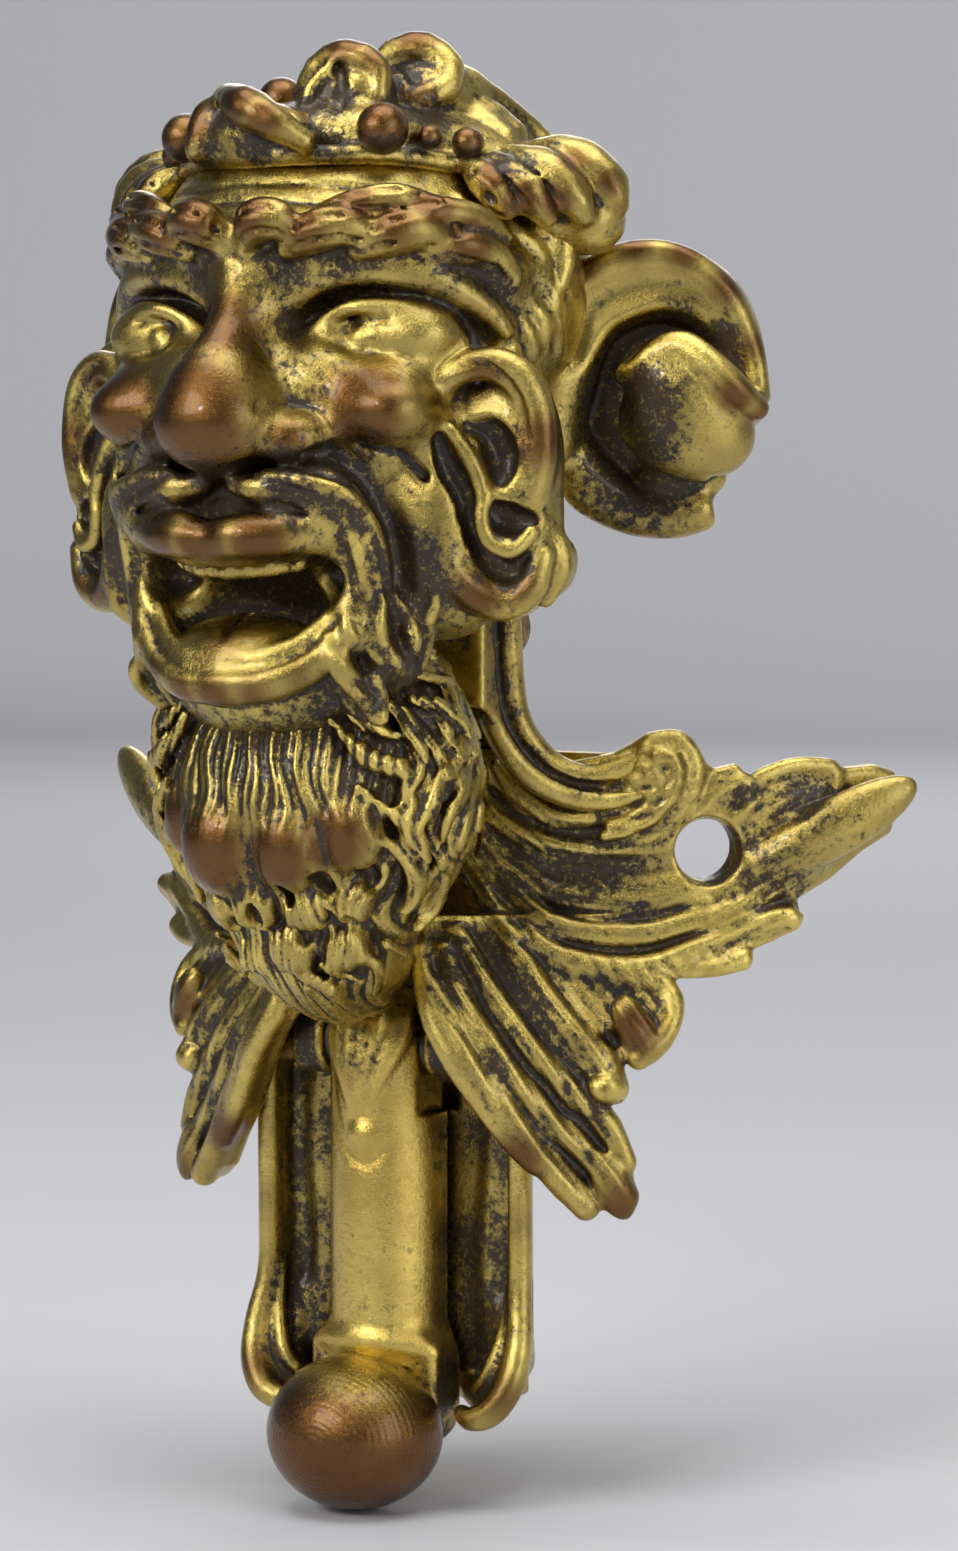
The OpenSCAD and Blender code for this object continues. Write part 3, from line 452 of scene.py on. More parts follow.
pair_of(swan, [(10.7, -23.0, 26, 0.35), (10.7, -22.4, 20.6, 0.4), (10.7, -21.9, 16.5, 0.4),
    (10.8, -21.4, 12.5, 0.4), (11.6, -20.6, 9.6, 0.4), (13.4, -19.4, 7.0, 0.4), (15.9, -17.8, 5.6, 0.35),
    (18.4, -16.2, 5.6, 0.25)], 0.35, True)
# door plane and screw pockets behind the head
swan.blend(where, -y + 0 * (x + z), 0.2, True)
pocket_x, pocket_z, pocket_r, pocket_end = 6, 18, 3.1, -14.6
for side in (1, -1):
    pocket = np.sqrt((x - side * pocket_x) ** 2 + (z - pocket_z) ** 2) - pocket_r
    swan.blend(where, np.maximum(pocket, pocket_end - y), 0.2, True)
grimy = [(10.7, -22.4, 22), (10.7, -22, 18), (10.8, -21.4, 14), (11.2, -21, 11), (13, -19.6, 7.6),
    (15.9, -17.8, 5.6), (8.6, -24, 18), (8.6, -23.6, 12)]
neck = swan.fire("neck_bracket_swan", mirrored([(*spot, 2.2, -0.7) for spot in grimy]))
neck.data.materials.append(gilt_bronze)
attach(neck, "plate")
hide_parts("neck_bracket")

# Mask: the head of a horned satyr with an open mouth, cast in bronze, chased
# and gilt. Its flat back is screwed to the neck bracket.
head = Clay((-25.5, -53, 3), (25.5, -8, 56.5), 0.34)
seat_y = -24.5


def pair_lump(centre, radii, soft=1.0, turn=(0, 0, 0), cut=False):
    """A lump on the right of the head and its mirror image on the left."""
    head.lump(centre, radii, soft, turn, cut)
    head.lump((-centre[0], *centre[1:]), radii, soft, (turn[0], -turn[1], -turn[2]), cut)


# skull, jaw and chin, then the flesh of cheeks, muzzle and mouth corners
for centre, radii in (((0, -27.3, 42), (17.6, 16.8, 18.6)), ((0, -31.5, 28), (13.6, 12.2, 15)),
        ((0, -37.5, 15), (9.2, 7.2, 6))):
    head.lump(centre, radii, 4)
pair_lump((14.2, -24.2, 45.5), (5.4, 6.5, 8.5), 3)
base = head.field.copy()


def skin(clay, shape, turn, z, lift=0.0):
    """The point on a shape at a turn from the front, in degrees, and a height, or None if it misses."""
    way = np.array((math.sin(math.radians(turn)), -math.cos(math.radians(turn)), 0))
    points = np.array((0, -26, z)) + np.arange(27, 1, -0.2)[:, None] * way
    met = clay.read(shape, points) < 0
    return points[met.argmax()] + lift * way if met.any() else None


def comb(clay, places, radii, soft, cut=False):
    """A strand of hair through the places that were met, left out where it would jump a gap."""
    line = [(*place, r) for place, r in zip(places, radii) if place is not None]
    if len(line) > 2 and all(math.dist(a[:3], b[:3]) < 4.5 for a, b in zip(line, line[1:])):
        clay.rope(line, soft, cut)


pair_lump((13.4, -33.6, 27.5), (5, 6.2, 9.5), 4)
pair_lump((5.4, -41.8, 28.2), (6.0, 4.6, 4.8), 3, (0, 0, -25))
pair_lump((8.6, -39.2, 21), (3.4, 4.2, 6), 2.5)
pair_lump((18.0, -32.4, 31.5), (4.2, 4.0, 8.4), 2)
# brow ledge, the sockets open towards the temples, and the soft fold over each eye
pair_of(head, [(0.5, -41.2, 48.6, 1.8), (5, -41.0, 48.8, 1.8), (10, -38.9, 49, 1.8),
    (15, -34.9, 48.4, 1.7), (17.0, -31.6, 46.4, 1.4)], 2.5)
pair_lump((10.0, -42.8, 42.4), (6.6, 5.4, 4.0), 3, (0, 0, -22), True)
pair_lump((16.8, -39.6, 42), (4.6, 4.2, 3.4), 3, (0, 0, -35), True)
pair_of(head, [(3.6, -41.4, 44.2, 0.6), (6.6, -41.2, 45.9, 0.9), (10.4, -39.9, 46.5, 1.1),
    (14.0, -37.2, 45.8, 1.2), (16.8, -34.0, 43.4, 1.0), (17.8, -32.0, 40.6, 0.6)], 1.4)
# eyes: ball, lids, the crease above and a drilled iris
pair_lump((6.4, -38.3, 41.3), (2.6, 2.6, 1.9), 0.8)
pair_lump((9.8, -36.0, 41.6), (6.2, 4.6, 3.4), 0.8, (0, 0, -22))
pair_of(head, [(4.6, -40.5, 41.1, 0.4), (6.6, -40.9, 42.9, 0.55), (9.5, -40.8, 43.8, 0.65),
    (12.8, -38.9, 43.3, 0.65), (15.8, -35.9, 41.0, 0.4)], 0.9)
pair_of(head, [(4.6, -40.6, 41.0, 0.45), (7.0, -41.4, 39.4, 0.65), (10.2, -41.0, 38.7, 0.75),
    (13.2, -39.0, 39.3, 0.7), (15.8, -36.0, 41.0, 0.4)], 0.4)
pair_of(head, [(6.8, -41.3, 42.3, 0.08), (8.2, -41.4, 42.6, 0.14), (10.0, -41.0, 42.8, 0.18),
    (12.6, -39.6, 42.4, 0.16), (14.6, -37.4, 41.3, 0.12)], 0.25, True)
pair_of(head, [(6.8, -41.4, 40.7, 0.1), (8.4, -41.4, 40.2, 0.22), (10.6, -40.8, 40.0, 0.28),
    (13.0, -39.2, 40.4, 0.26), (14.6, -37.6, 41.0, 0.18)], 0.25, True)
pair_lump((9.4, -41.2, 41.5), (1.6, 0.62, 1.5), 0.3, (0, 0, -22), True)
pair_lump((9.4, -40.6, 41.5), (0.8, 0.5, 0.8), 0.3)
for shift in (0, 1.5, 3.0):
    pair_of(head, [(16.4, -35.2, 41.4 - shift, 0.25), (17.4, -33.8, 41.0 - 1.2 * shift, 0.35),
        (18.2, -32.2, 41.2 - 1.2 * shift, 0.25)], 0.4, True)
pair_of(head, [(5.6, -41.6, 38.2, 0.3), (8.6, -41.6, 38.6, 0.4), (11.6, -40.2, 39.0, 0.4),
    (14.2, -37.8, 39.2, 0.25)], 0.7, True)
# brow locks, each with a cut line above and below
brow_locks = [
    [(1.0, -43.6, 49.0, 1.0), (2.4, -44.4, 50.2, 1.6), (4.2, -44.2, 50.4, 1.4), (5.2, -43.4, 49.4, 0.8)],
    [(4.6, -43.2, 48.2, 0.8), (6.8, -43.1, 49.4, 1.5), (9.0, -42.2, 49.9, 1.4), (10.6, -41.2, 49.2, 0.8)],
    [(6.6, -42.2, 50.8, 0.6), (9.2, -41.2, 51.6, 1.0), (12.0, -39.2, 52.0, 1.1), (14.2, -36.8, 51.6, 0.6)],
    [(9.6, -41.2, 48.0, 0.7), (11.8, -40.2, 49.2, 1.5), (13.8, -38.4, 49.6, 1.4), (15.0, -36.8, 48.8, 0.7)],
    [(12.0, -39.4, 50.8, 0.6), (14.4, -37.4, 51.0, 1.1), (16.4, -34.4, 50.4, 1.1),
        (17.4, -32.0, 49.2, 0.6)],
    [(14.0, -37.8, 47.8, 0.6), (15.8, -35.8, 48.4, 1.2), (17.2, -33.4, 47.8, 1.1),
        (17.8, -31.6, 46.2, 0.6)]]
for line in brow_locks:
    pair_of(head, [(x, y - 0.5, z, 1.12 * r) for x, y, z, r in line], 0.45)
    for up in (0.55, -0.55):
        parting = [(x + 0.1, y - 0.5 - 0.9 * r, z + up * r, 0.1 + 0.07 * r) for x, y, z, r in line]
        pair_of(head, parting, 0.3, True)
head.rope([(0, -45.2, 51.6, 0.5), (0, -45.6, 49.4, 0.9), (0, -44.4, 47.4, 0.5)], 0.8, True)
pair_of(head, [(1.6, -44.8, 47.8, 0.3), (3.2, -44.2, 46.9, 0.45), (4.6, -43.2, 46.6, 0.3)], 0.5, True)
# shallow lines across the forehead
for z in (51.6, 53.2):
    waves = [(turn, z + 0.3 * math.cos(math.radians(4 * turn))) for turn in range(-44, 45, 8)]
    comb(head, [skin(head, base, *wave, 0.12) for wave in waves], [0.22] * len(waves), 0.35, True)

# nose, with the flesh beside it
pair_lump((5.8, -40.6, 37.6), (2.8, 3.4, 3.4), 3)
head.rope([(0, -41.8, 48, 1.5), (0, -43.4, 45, 1.5), (0, -45.0, 41.4, 2.1), (0, -46.6, 38, 3.4)], 2.4)
head.lump((0, -46.2, 35.0), (5.2, 5.3, 4.4), 2)
pair_lump((5.7, -44.4, 33.6), (2.5, 3.2, 2.2), 0.8, (0, 0, -25))
pair_of(head, [(4.6, -48.2, 36.0, 0.15), (5.8, -46.8, 36.6, 0.3), (7.4, -45.0, 36.3, 0.35),
    (8.4, -43.6, 34.6, 0.4), (8.2, -43.4, 32.6, 0.35)], 0.6, True)
pair_lump((3.2, -46.2, 30.9), (1.7, 2.6, 1.4), 0.6, (0, 0, -20), True)

# cheeks and the folds from the nose round the mouth
pair_lump((10.6, -39.5, 35.8), (5.2, 4.2, 3.3), 2.6, (0, 0, -40))
pair_of(head, [(6.8, -45.0, 32.4, 0.5), (8.8, -43.9, 32.2, 0.7), (10.6, -42.4, 30.6, 0.85),
    (11.7, -41.2, 28.0, 0.9), (12.2, -40.2, 25, 0.9), (12.2, -39.4, 20.5, 0.8), (12.0, -38.6, 16, 0.6)],
    0.9, True)
pair_of(head, [(10.4, -42.2, 33.4, 0.25), (12.6, -40.6, 32.4, 0.35), (14.4, -38.6, 30.0, 0.35),
    (15.0, -37.2, 27.2, 0.25)], 0.7, True)

# upper lip, the folds over it and the open mouth with its teeth and tongue
head.lump((0, -44.2, 20.2), (8.0, 6.4, 4.5), 1.0, (0, 0, 0), True)
pair_lump((6.9, -43.2, 22.6), (2.2, 3.6, 2.0), 0.9, (0, 25, 0), True)
pair_of(head, [(1.8, -46.6, 29.9, 0.8), (4.2, -46.6, 29.7, 1.2), (7.0, -45.2, 29.2, 1.2),
    (9.2, -43.4, 28.2, 1.0), (10.6, -42.0, 26.4, 0.8), (10.6, -41.8, 24.4, 0.6)], 1.2)
pair_of(head, [(1.4, -48.2, 28.6, 0.3), (4.0, -48.0, 28.6, 0.45), (7.0, -46.4, 28.0, 0.45),
    (9.4, -44.0, 26.9, 0.3)], 0.5, True)
pair_of(head, [(0, -47.2, 25.7, 1.4), (2.2, -47.6, 26.1, 1.75), (5.2, -46.4, 26.2, 1.7),
    (8.0, -44.2, 26.6, 1.35), (9.9, -42.2, 27.2, 0.8)], 0.8)
pair_of(head, [(0, -46.6, 24.8, 1.1), (3.0, -46.2, 24.8, 1.1), (6.2, -44.6, 25.4, 0.9)], 0.7)
head.lump((0, -48.8, 29.4), (1.0, 1.5, 1.6), 0.8, (0, 0, 0), True)
pair_of(head, [(0, -45.3, 23.6, 0.95), (2.6, -44.8, 23.7, 0.95), (5.2, -43.2, 24.1, 0.85)], 0.3)
for i in range(-4, 4):
    x = 1.45 * (i + 0.5)
    head.rope([(x, -46.3 + 0.09 * x * x, 24.8, 0.24), (x, -46.2 + 0.09 * x * x, 22.6, 0.24)], 0.15, True)
head.lump((0, -42.6, 17.6), (5.9, 4.2, 2.3), 0.6, (12, 0, 0))
head.rope([(0, -46.4, 18.4, 0.3), (0, -43, 19.4, 0.35), (0, -40, 19.2, 0.3)], 0.4, True)
pair_of(head, [(0, -45.8, 14.6, 1.7), (3.4, -45.5, 14.8, 1.7), (6.6, -44.0, 16.2, 1.6),
    (8.9, -42.4, 18.8, 1.5), (10.2, -41.2, 22.4, 1.3), (10.5, -41.4, 26.0, 0.9)], 0.9)
pair_of(head, [(0, -46.0, 16.5, 0.9), (3.2, -45.6, 16.7, 0.9), (6.0, -44.2, 17.9, 0.8),
    (8.0, -42.6, 20.2, 0.6)], 0.4)
pair_of(head, [(0, -47.6, 15.7, 0.25), (3.4, -47.0, 15.9, 0.3), (6.6, -45.2, 17.2, 0.3),
    (8.8, -43.4, 19.6, 0.2)], 0.3, True)
pair_of(head, [(0, -46.4, 11.2, 0.8), (4, -45.4, 11.5, 0.8), (7.8, -43.2, 13.4, 0.7),
    (10.4, -40.8, 17.4, 0.6)], 0.7, True)

# ears: three hollows, then the folded rim, the ridge and curl between them, the lobe and the hair behind
pair_lump((18.2, -32.6, 25), (4.0, 3.6, 5.4), 2)
ear_hollows = [
    [(16.6, -36.6, 34.6, 0.6), (18.3, -36.1, 34.0, 1.2), (19.2, -35.9, 32.1, 1.3),
        (19.1, -36.0, 30.5, 0.7)],
    [(15.0, -38.5, 33.5, 0.6), (15.7, -38.1, 31.3, 1.0), (16.7, -37.6, 29.3, 1.0),
        (17.1, -37.1, 26.8, 0.9), (18.3, -36.2, 24.2, 1.0), (19.8, -35.5, 23.2, 1.0),
        (20.8, -35.1, 24.5, 0.5)],
    [(18.1, -36.6, 28.4, 0.6), (19.5, -35.9, 27.4, 1.3), (20.9, -35.0, 27.2, 0.9)]]
for line in ear_hollows:
    pair_of(head, line, 0.3, True)
ear_folds = [
    ([(14.5, -37.6, 37.7, 0.9), (16.4, -36.7, 39.0, 1.2), (18.4, -35.7, 39.3, 1.4),
        (20.3, -34.8, 38.1, 1.5), (21.3, -34.3, 35.8, 1.5), (21.6, -34.2, 32.5, 1.4),
        (21.2, -34.4, 29.3, 1.0)], 0.9),
    ([(14.7, -38.4, 27.2, 0.8), (15.4, -37.8, 24.2, 1.2), (16.7, -36.2, 21.8, 1.5),
        (18.7, -34.8, 20.9, 1.5), (20.7, -34.2, 22.0, 1.3), (21.6, -33.9, 24.5, 1.0)], 0.4),
    ([(15.7, -37.9, 34.3, 0.5), (17.0, -37.2, 32.1, 0.7), (17.8, -36.9, 30.1, 0.7),
        (18.0, -36.9, 28.9, 0.6)], 0.2),
    ([(18.3, -36.7, 29.2, 0.6), (17.9, -36.9, 27.6, 0.7), (18.4, -36.5, 25.6, 0.7),
        (20.0, -35.7, 25.0, 0.7), (21.2, -34.9, 26.4, 0.6)], 0.2),
    ([(21.0, -32.7, 27.2, 0.6), (21.9, -32.2, 25.5, 1.0), (22.2, -32.1, 23.4, 1.0),
        (21.2, -32.6, 21.0, 0.6)], 0.4),
    ([(20.9, -31.5, 26.5, 0.5), (22.1, -30.9, 24.7, 0.8), (21.9, -31.0, 22.8, 0.8),
        (21.2, -31.3, 21.6, 0.5)], 0.4)]
for line, soft in ear_folds:
    pair_of(head, line, soft)
pair_of(head, [(15.4, -38.6, 38.4, 0.2), (17.2, -37.6, 39.4, 0.3), (19.0, -36.6, 38.8, 0.35),
    (20.6, -35.8, 36.6, 0.3), (21.2, -35.6, 33.6, 0.2)], 0.35, True)
# moustache, hair on the jaw, and short hair on the temples and the back of the head
chance = np.random.default_rng(7)
for side in (1, -1):
    # strands from beside the nose, out and down round the mouth
    for i in range(1, 5):
        way = [(9 + 1.5 * i, 31.0 - 0.1 * i), (14 + 2 * i, 31.0 - 0.2 * i),
            (22 + 2.4 * i, 29.6 - 0.1 * i), (27.5 + 2.6 * i, 26.4), (30.5 + 2.6 * i, 22.5),
            (32.5 + 2.8 * i, 19)]
        places = [skin(head, head.field, side * turn, z) for turn, z in way]
        comb(head, places, (0.25, 0.5, 0.6, 0.6, 0.5, 0.3), 0.35)
    for _ in range(60):
        turn, top, wave = chance.uniform(27, 58), chance.uniform(11, 20), chance.uniform(0, 6)
        top += 0.15 * (turn - 27)
        steps = np.linspace(0, 1, 6)
        turns = turn + 9 * steps + 3 * np.sin(wave + 5 * steps)
        places = [skin(head, head.field, side * a, top - 8 * t) for a, t in zip(turns, steps)]
        comb(head, places, 0.66 * np.sin(math.pi * (0.15 + 0.75 * steps)), 0.3)
for side in (1, -1):
    for _ in range(40):
        turn, top = chance.uniform(62, 88), chance.uniform(42, 53)
        steps = np.linspace(0, 1, 3)
        places = [skin(head, base, side * (turn + 5 * t), top - 2.4 * t) for t in steps]
        comb(head, places, 0.55 * np.sin(math.pi * (0.15 + 0.7 * steps)), 0.35)
for i in range(70):
    turn = 86 + 188 * ((i * 0.618) % 1)
    top = 54 - 26 * ((i * 0.382) % 1)
    steps = np.linspace(0, 1, 5)
    places = [skin(head, base, turn + 4 * math.sin(i + 3 * t), top - 9 * t, 0.1) for t in steps]
    comb(head, places, 1.1 * np.sin(math.pi * (0.12 + 0.8 * steps)), 0.4)

# flat seat on the neck and flat crown under the wreath
where, (x, y, z) = head.window((-30, -60, -20), (30, 10, 70))
head.blend(where, np.maximum(seat_y - y, z - 26) + 0 * x, 0.3, True)
head.blend(where, 55.4 - z + 0 * (x + y), 0.3, True)
head.blend(where, z - 4 + 0 * (x + y), 0.3, True)

# positive spots rub the gilding down to copper; negative spots darken the surface: patina in the folds, and
# painted shade inside the mouth, under the nose, in the eye corners and in the hollows of the ears
mask_rubs_and_shade = [(0, -51, 35.5, 6.6, 1.15), (0, -46.5, 42, 4.2, 1.0), (0, -45, 45.6, 2.6, 0.5),
    (0, -49, 26, 3, 1.15), (0, -45.5, 17.6, 3, 0.8), (0, -47.8, 13.6, 2.4, 0.95),
    (0, -48, 30.5, 2.8, -0.9), (0, -38, 22, 5, -0.7)]
mask_rubs_and_shade += mirrored([(11.4, -43.2, 36.2, 4.4, 1.1), (6.4, -47, 33.8, 2.4, 0.9), (4.5, -48, 26, 3, 1.1),
    (18, -37, 38.4, 2.6, 0.8), (21.8, -34.5, 33.5, 3.2, 0.9), (3.5, -47.6, 13.6, 2.4, 0.85),
    (7, -46, 15.2, 2.2, 0.7), (17.6, -37, 21.6, 2.6, 0.9), (20.6, -36, 22.4, 2.2, 0.8),
    (5.2, -46, 34, 2.2, 0.6), (2.6, -45.8, 50.6, 2.6, 1.05), (6.8, -44.2, 49.8, 2.6, 1.05),
    (9.6, -42.6, 51.6, 2.6, 1.05), (12.6, -41.0, 50.0, 2.6, 1.05), (14.4, -38.6, 51.2, 2.6, 1.05),
    (16.4, -36.4, 48.8, 2.6, 1.05), (7, -46.5, 30.6, 3, -1.2), (10, -43.5, 29.5, 3, -1.1),
    (12.6, -40, 23, 4, -1.1), (14.5, -37.5, 30, 3.5, -0.5), (17.6, -34, 46, 4, -0.6),
    (15, -37.5, 46, 3, -0.5), (9, -42.4, 46.6, 2.6, -0.5), (12, -38.5, 16, 4.5, -0.8),
    (9.2, -42.4, 11.5, 4.5, -0.9), (13.5, -36, 13, 4.5, -0.8), (16.4, -36.8, 31.4, 1.8, -0.8),
    (19.4, -35.6, 32.8, 1.8, -1.0), (19.8, -35.2, 27.4, 1.8, -1.0), (17.8, -36, 25.6, 1.6, -0.8),
    (20, -35.2, 23.6, 1.6, -0.8), (4, -43.5, 46.6, 2, -0.6), (3.4, -41.6, 42.6, 1.4, -0.8),
    (5.6, -44.5, 39, 2.2, -0.3), (15.5, -36.5, 24, 3, -0.4)])
mask = head.fire("mask_head", mask_rubs_and_shade)
mask_bronze = bronze("mask_bronze", dirt=0.05, patchy=0.75)
mask.data.materials.append(mask_bronze)
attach(mask, "plate")
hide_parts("mask")

# Beard of the mask, part of the same casting: strands fan from under the lip
# into round-ended locks, with curls down the sides and a combed point below.
beard = Clay((-16.5, -47.5, -15), (16.5, -22, 20), 0.22)
for centre, radii in (((0, -31.5, 7), (13.2, 10, 14.5)), ((0, -37, 4.5), (8.6, 6.8, 8.6)),
        ((0, -31, -4.5), (7.4, 7.2, 7.8)), ((0, -28, -9), (4.8, 4.6, 4.6))):
    beard.lump(centre, radii, 3)
bulbs = ((-2.8, -40.8, 2.0, 3.9, 4.6), (3.2, -41.0, 1.9, 3.1, 4.0), (7.5, -39.2, 3.2, 2.8, 3.6),
    (-7.4, -38.1, 3.6, 2.9, 3.7))
for x, y, z, rx, rz in bulbs:
    beard.lump((x, y, z), (rx, rx, rz), 0.5)
for x, y, z, r in ((-0.6, -40.0, -2.6, 2.2), (3.6, -39.6, -2.8, 2.0), (-4.2, -38.2, -3.0, 2.1),
        (6.6, -37.6, -2.4, 1.8), (1.4, -37.6, -6.2, 2.2), (-2.6, -36.2, -7.0, 1.9), (4.8, -36, -6.4, 1.9)):
    beard.lump((x, y, z), (r, r, r * 1.2), 0.4)
tufts = [
    [(9.8, -38.5, 17.9, 0.30), (10.3, -36.9, 16.2, 0.63), (11.3, -34.7, 15.1, 0.63),
        (11.8, -31.3, 14.5, 0.30)],
    [(11.1, -36.7, 18.7, 0.40), (11.5, -33.2, 16.5, 0.40)],
    [(7.0, -40.4, 13.8, 0.30), (8.6, -39.8, 11.7, 0.63), (10.0, -39.0, 10.9, 0.63),
        (11.5, -37.4, 10.4, 0.30)],
    [(6.8, -40.9, 11.7, 0.40), (8.5, -40.5, 9.7, 0.80), (10.2, -39.3, 8.4, 1.20),
        (11.7, -37.7, 7.5, 0.80), (11.6, -37.7, 5.4, 0.40)],
    [(9.0, -38.9, 13.4, 0.40), (10.7, -37.6, 12.5, 0.70), (11.8, -37.0, 10.4, 1.00),
        (12.3, -36.7, 7.9, 0.70), (11.7, -37.7, 6.3, 0.40)],
    [(11.3, -36.2, 13.3, 0.50), (12.4, -34.0, 12.6, 0.74), (13.2, -31.6, 10.6, 0.98),
        (13.5, -33.4, 8.2, 0.96), (12.9, -35.7, 6.6, 0.68), (12.6, -35.9, 4.5, 0.40)],
    [(13.1, -30.1, 10.1, 0.50), (13.5, -32.6, 5.6, 0.83), (13.1, -34.3, 4.0, 0.80),
        (12.4, -34.1, 1.5, 0.40)],
    [(9.1, -40.6, 6.4, 0.40), (10.5, -39.0, 4.7, 0.70), (11.7, -37.0, 3.3, 1.00),
        (11.7, -35.3, 0.7, 0.70), (10.7, -34.0, -2.0, 0.40)],
    [(10.0, -39.0, 2.6, 0.40), (11.0, -36.6, 0.7, 0.73), (10.5, -34.5, -2.0, 0.73),
        (9.4, -34.7, -3.7, 0.40)],
    [(12.9, -33.1, 2.2, 0.50), (11.6, -31.8, -0.9, 0.83), (9.8, -30.5, -3.6, 0.80),
        (9.2, -32.0, -5.2, 0.40)],
    [(1.0, -38.0, -8.1, 0.60), (3.2, -35.9, -9.9, 0.90), (2.7, -30.3, -12.6, 0.40)],
    [(3.6, -37.3, -8.0, 0.50), (5.4, -34.6, -9.4, 0.40)],
    [(7.9, -34.7, -6.3, 0.50), (8.1, -31.7, -7.4, 0.40)],
    [(6.6, -35.8, -7.1, 0.40), (6.8, -33.7, -8.6, 0.70), (5.3, -32.0, -10.5, 0.40)],
    [(1.5, -36.4, -9.9, 0.50), (1.3, -32.0, -12.5, 0.40)]]
# the tufts near the middle aren't repeated on the left
for line in tufts:
    for side in (1, -1):
        if side > 0 or line[0][0] > 3:
            beard.rope([(side * x, y, z, 0.78 * r) for x, y, z, r in line], 0.45)
for side in (1, -1):
    for i in range(16):
        turn, top = 56 + 3.8 * i, chance.uniform(12, 17)
        steps = np.linspace(0, 1, 8)
        turns = turn - 14 * steps + 6 * np.sin(1.3 * i + 6 * steps)
        places = [skin(beard, beard.field, side * a, top - 19 * t, -0.4) for a, t in zip(turns, steps)]
        comb(beard, places, 0.75 * np.sin(math.pi * (0.15 + 0.75 * steps)), 0.4)
# combed lines about 0.8 mm apart, fanning from the lip and drawn together at the tip
where, (x, y, z) = beard.window((-30, -60, -20), (30, 10, 70))
fan = x / np.sqrt(np.clip(1 - ((z - 1) / 19) ** 2, 0.06, 1)) + 0.12 * (y + 36)
sway = np.sin(0.62 * z + 0.5 * np.abs(x)) * np.clip(np.abs(x) / 8, 0.1, 1)
fan = fan + 0.8 * sway + 0.12 * np.sin(1.3 * z + x)
depth = 0.09 * np.cos(2 * math.pi * fan / 0.8) + 0.12 * np.cos(2 * math.pi * fan / 2.3 + 0.4 * z)
for bx, by, bz, rx, rz in bulbs:
    smooth = ((x - bx) / (0.9 * rx)) ** 2 + ((z - bz + 1) / (0.8 * rz)) ** 2
    depth = depth * (1 - 0.95 * np.exp(-smooth ** 2))
beard.field[where] += np.float32(depth)
# drilled holes between the lower locks
for x, y, z, r, lean in ((-0.4, -41.6, -4.4, 0.75, 10), (3.0, -41.4, -2.0, 0.5, -12),
        (5.6, -40.6, -1.2, 0.6, -20), (-3.6, -40.0, -5.0, 0.4, 14), (3.0, -39.6, -5.6, 0.5, -8),
        (8.4, -38.4, -0.6, 0.7, -24), (-6.4, -38.6, -1.2, 0.6, 20), (6.8, -37.4, -4.6, 0.6, -18)):
    beard.lump((x, y, z), (r, 1.6, r * 2.1), 0.4, (0, lean, 0), True)
# flat back against the neck, and room for the striker's swing
where, (x, y, z) = beard.window((-30, -60, -20), (30, 10, 70))
beard.blend(where, seat_y - y + 0 * (x + z), 0.3, True)
swing = math.inf
for turn in np.radians(range(0, 61, 10)):
    ahead = (z - pin_z) * math.sin(turn) - (y - pin_y) * math.cos(turn)
    above = (y - pin_y) * math.sin(turn) + (z - pin_z) * math.cos(turn)
    swing = np.minimum(swing, np.maximum(ahead, above) - arm_r - 1)
beard.blend(where, np.maximum(swing, np.abs(x) - arm_r - 2), 0.3, True)
beard_rubs_and_shade = [(bx, by - rx, bz - 1.0, 1.15 * rx, 1.15) for bx, by, bz, rx, rz in bulbs]
# painted shade where the beard meets the lower lip and tucks under the cheeks, and a little between the
# lower locks; the last spot rubs a lock to copper
beard_rubs_and_shade += [(0, -42, 10.5, 5, -0.9), (7, -39, 12, 4.5, -1.0), (-7, -39, 12, 4.5, -1.0),
    (10.5, -36, 13, 4.5, -0.9), (-10.5, -36, 13, 4.5, -0.9), (1, -41, -2.2, 3, -0.4),
    (9, -36.5, -1, 3, -0.5), (11.5, -33, 3, 4, -0.4), (-1.5, -41, -3.6, 2, 0.4)]
locks = beard.fire("mask_beard", beard_rubs_and_shade)
locks.data.materials.append(mask_bronze)
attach(locks, "plate")
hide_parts("mask")

# Horns: two ram's horns, cast with a smooth ribbon face, each one dowelled to
# its boss on the skull. The ribbon goes over, comes down outside and turns in.
# a runs outward along the swept plane, b up, c towards the viewer, mm from the middle of the turn
horn_x, horn_y, horn_z = 24, -18.5, 38
horn_cos, horn_sin = math.cos(math.radians(30)), math.sin(math.radians(30))
coil = Clay((-13, -14, -9), (11.5, 13, 9.5), 0.28)
ribbon = [(-9.6, -4.0), (-8.8, -0.6), (-7.7, 3.0), (-5.7, 6.1), (-2.6, 7.7), (0.5, 7.9), (3.4, 6.8),
    (5.3, 4.4), (6.3, 1.4), (6.4, -1.6)]
width = [3.0, 3.1, 3.1, 3.1, 3.1, 2.9, 2.7, 2.3, 2.0, 2.0]
coil.rope([(a, b, -0.6, r) for (a, b), r in zip(ribbon, width)], 0.8)
coil.rope([(a, b, -2.8, 0.85 * r) for (a, b), r in zip(ribbon, width)], 1.5)
# thin wall that closes the eye of the turn
coil.lump((0.4, -0.6, -2.6), (7.2, 7.6, 1.8), 0.8)
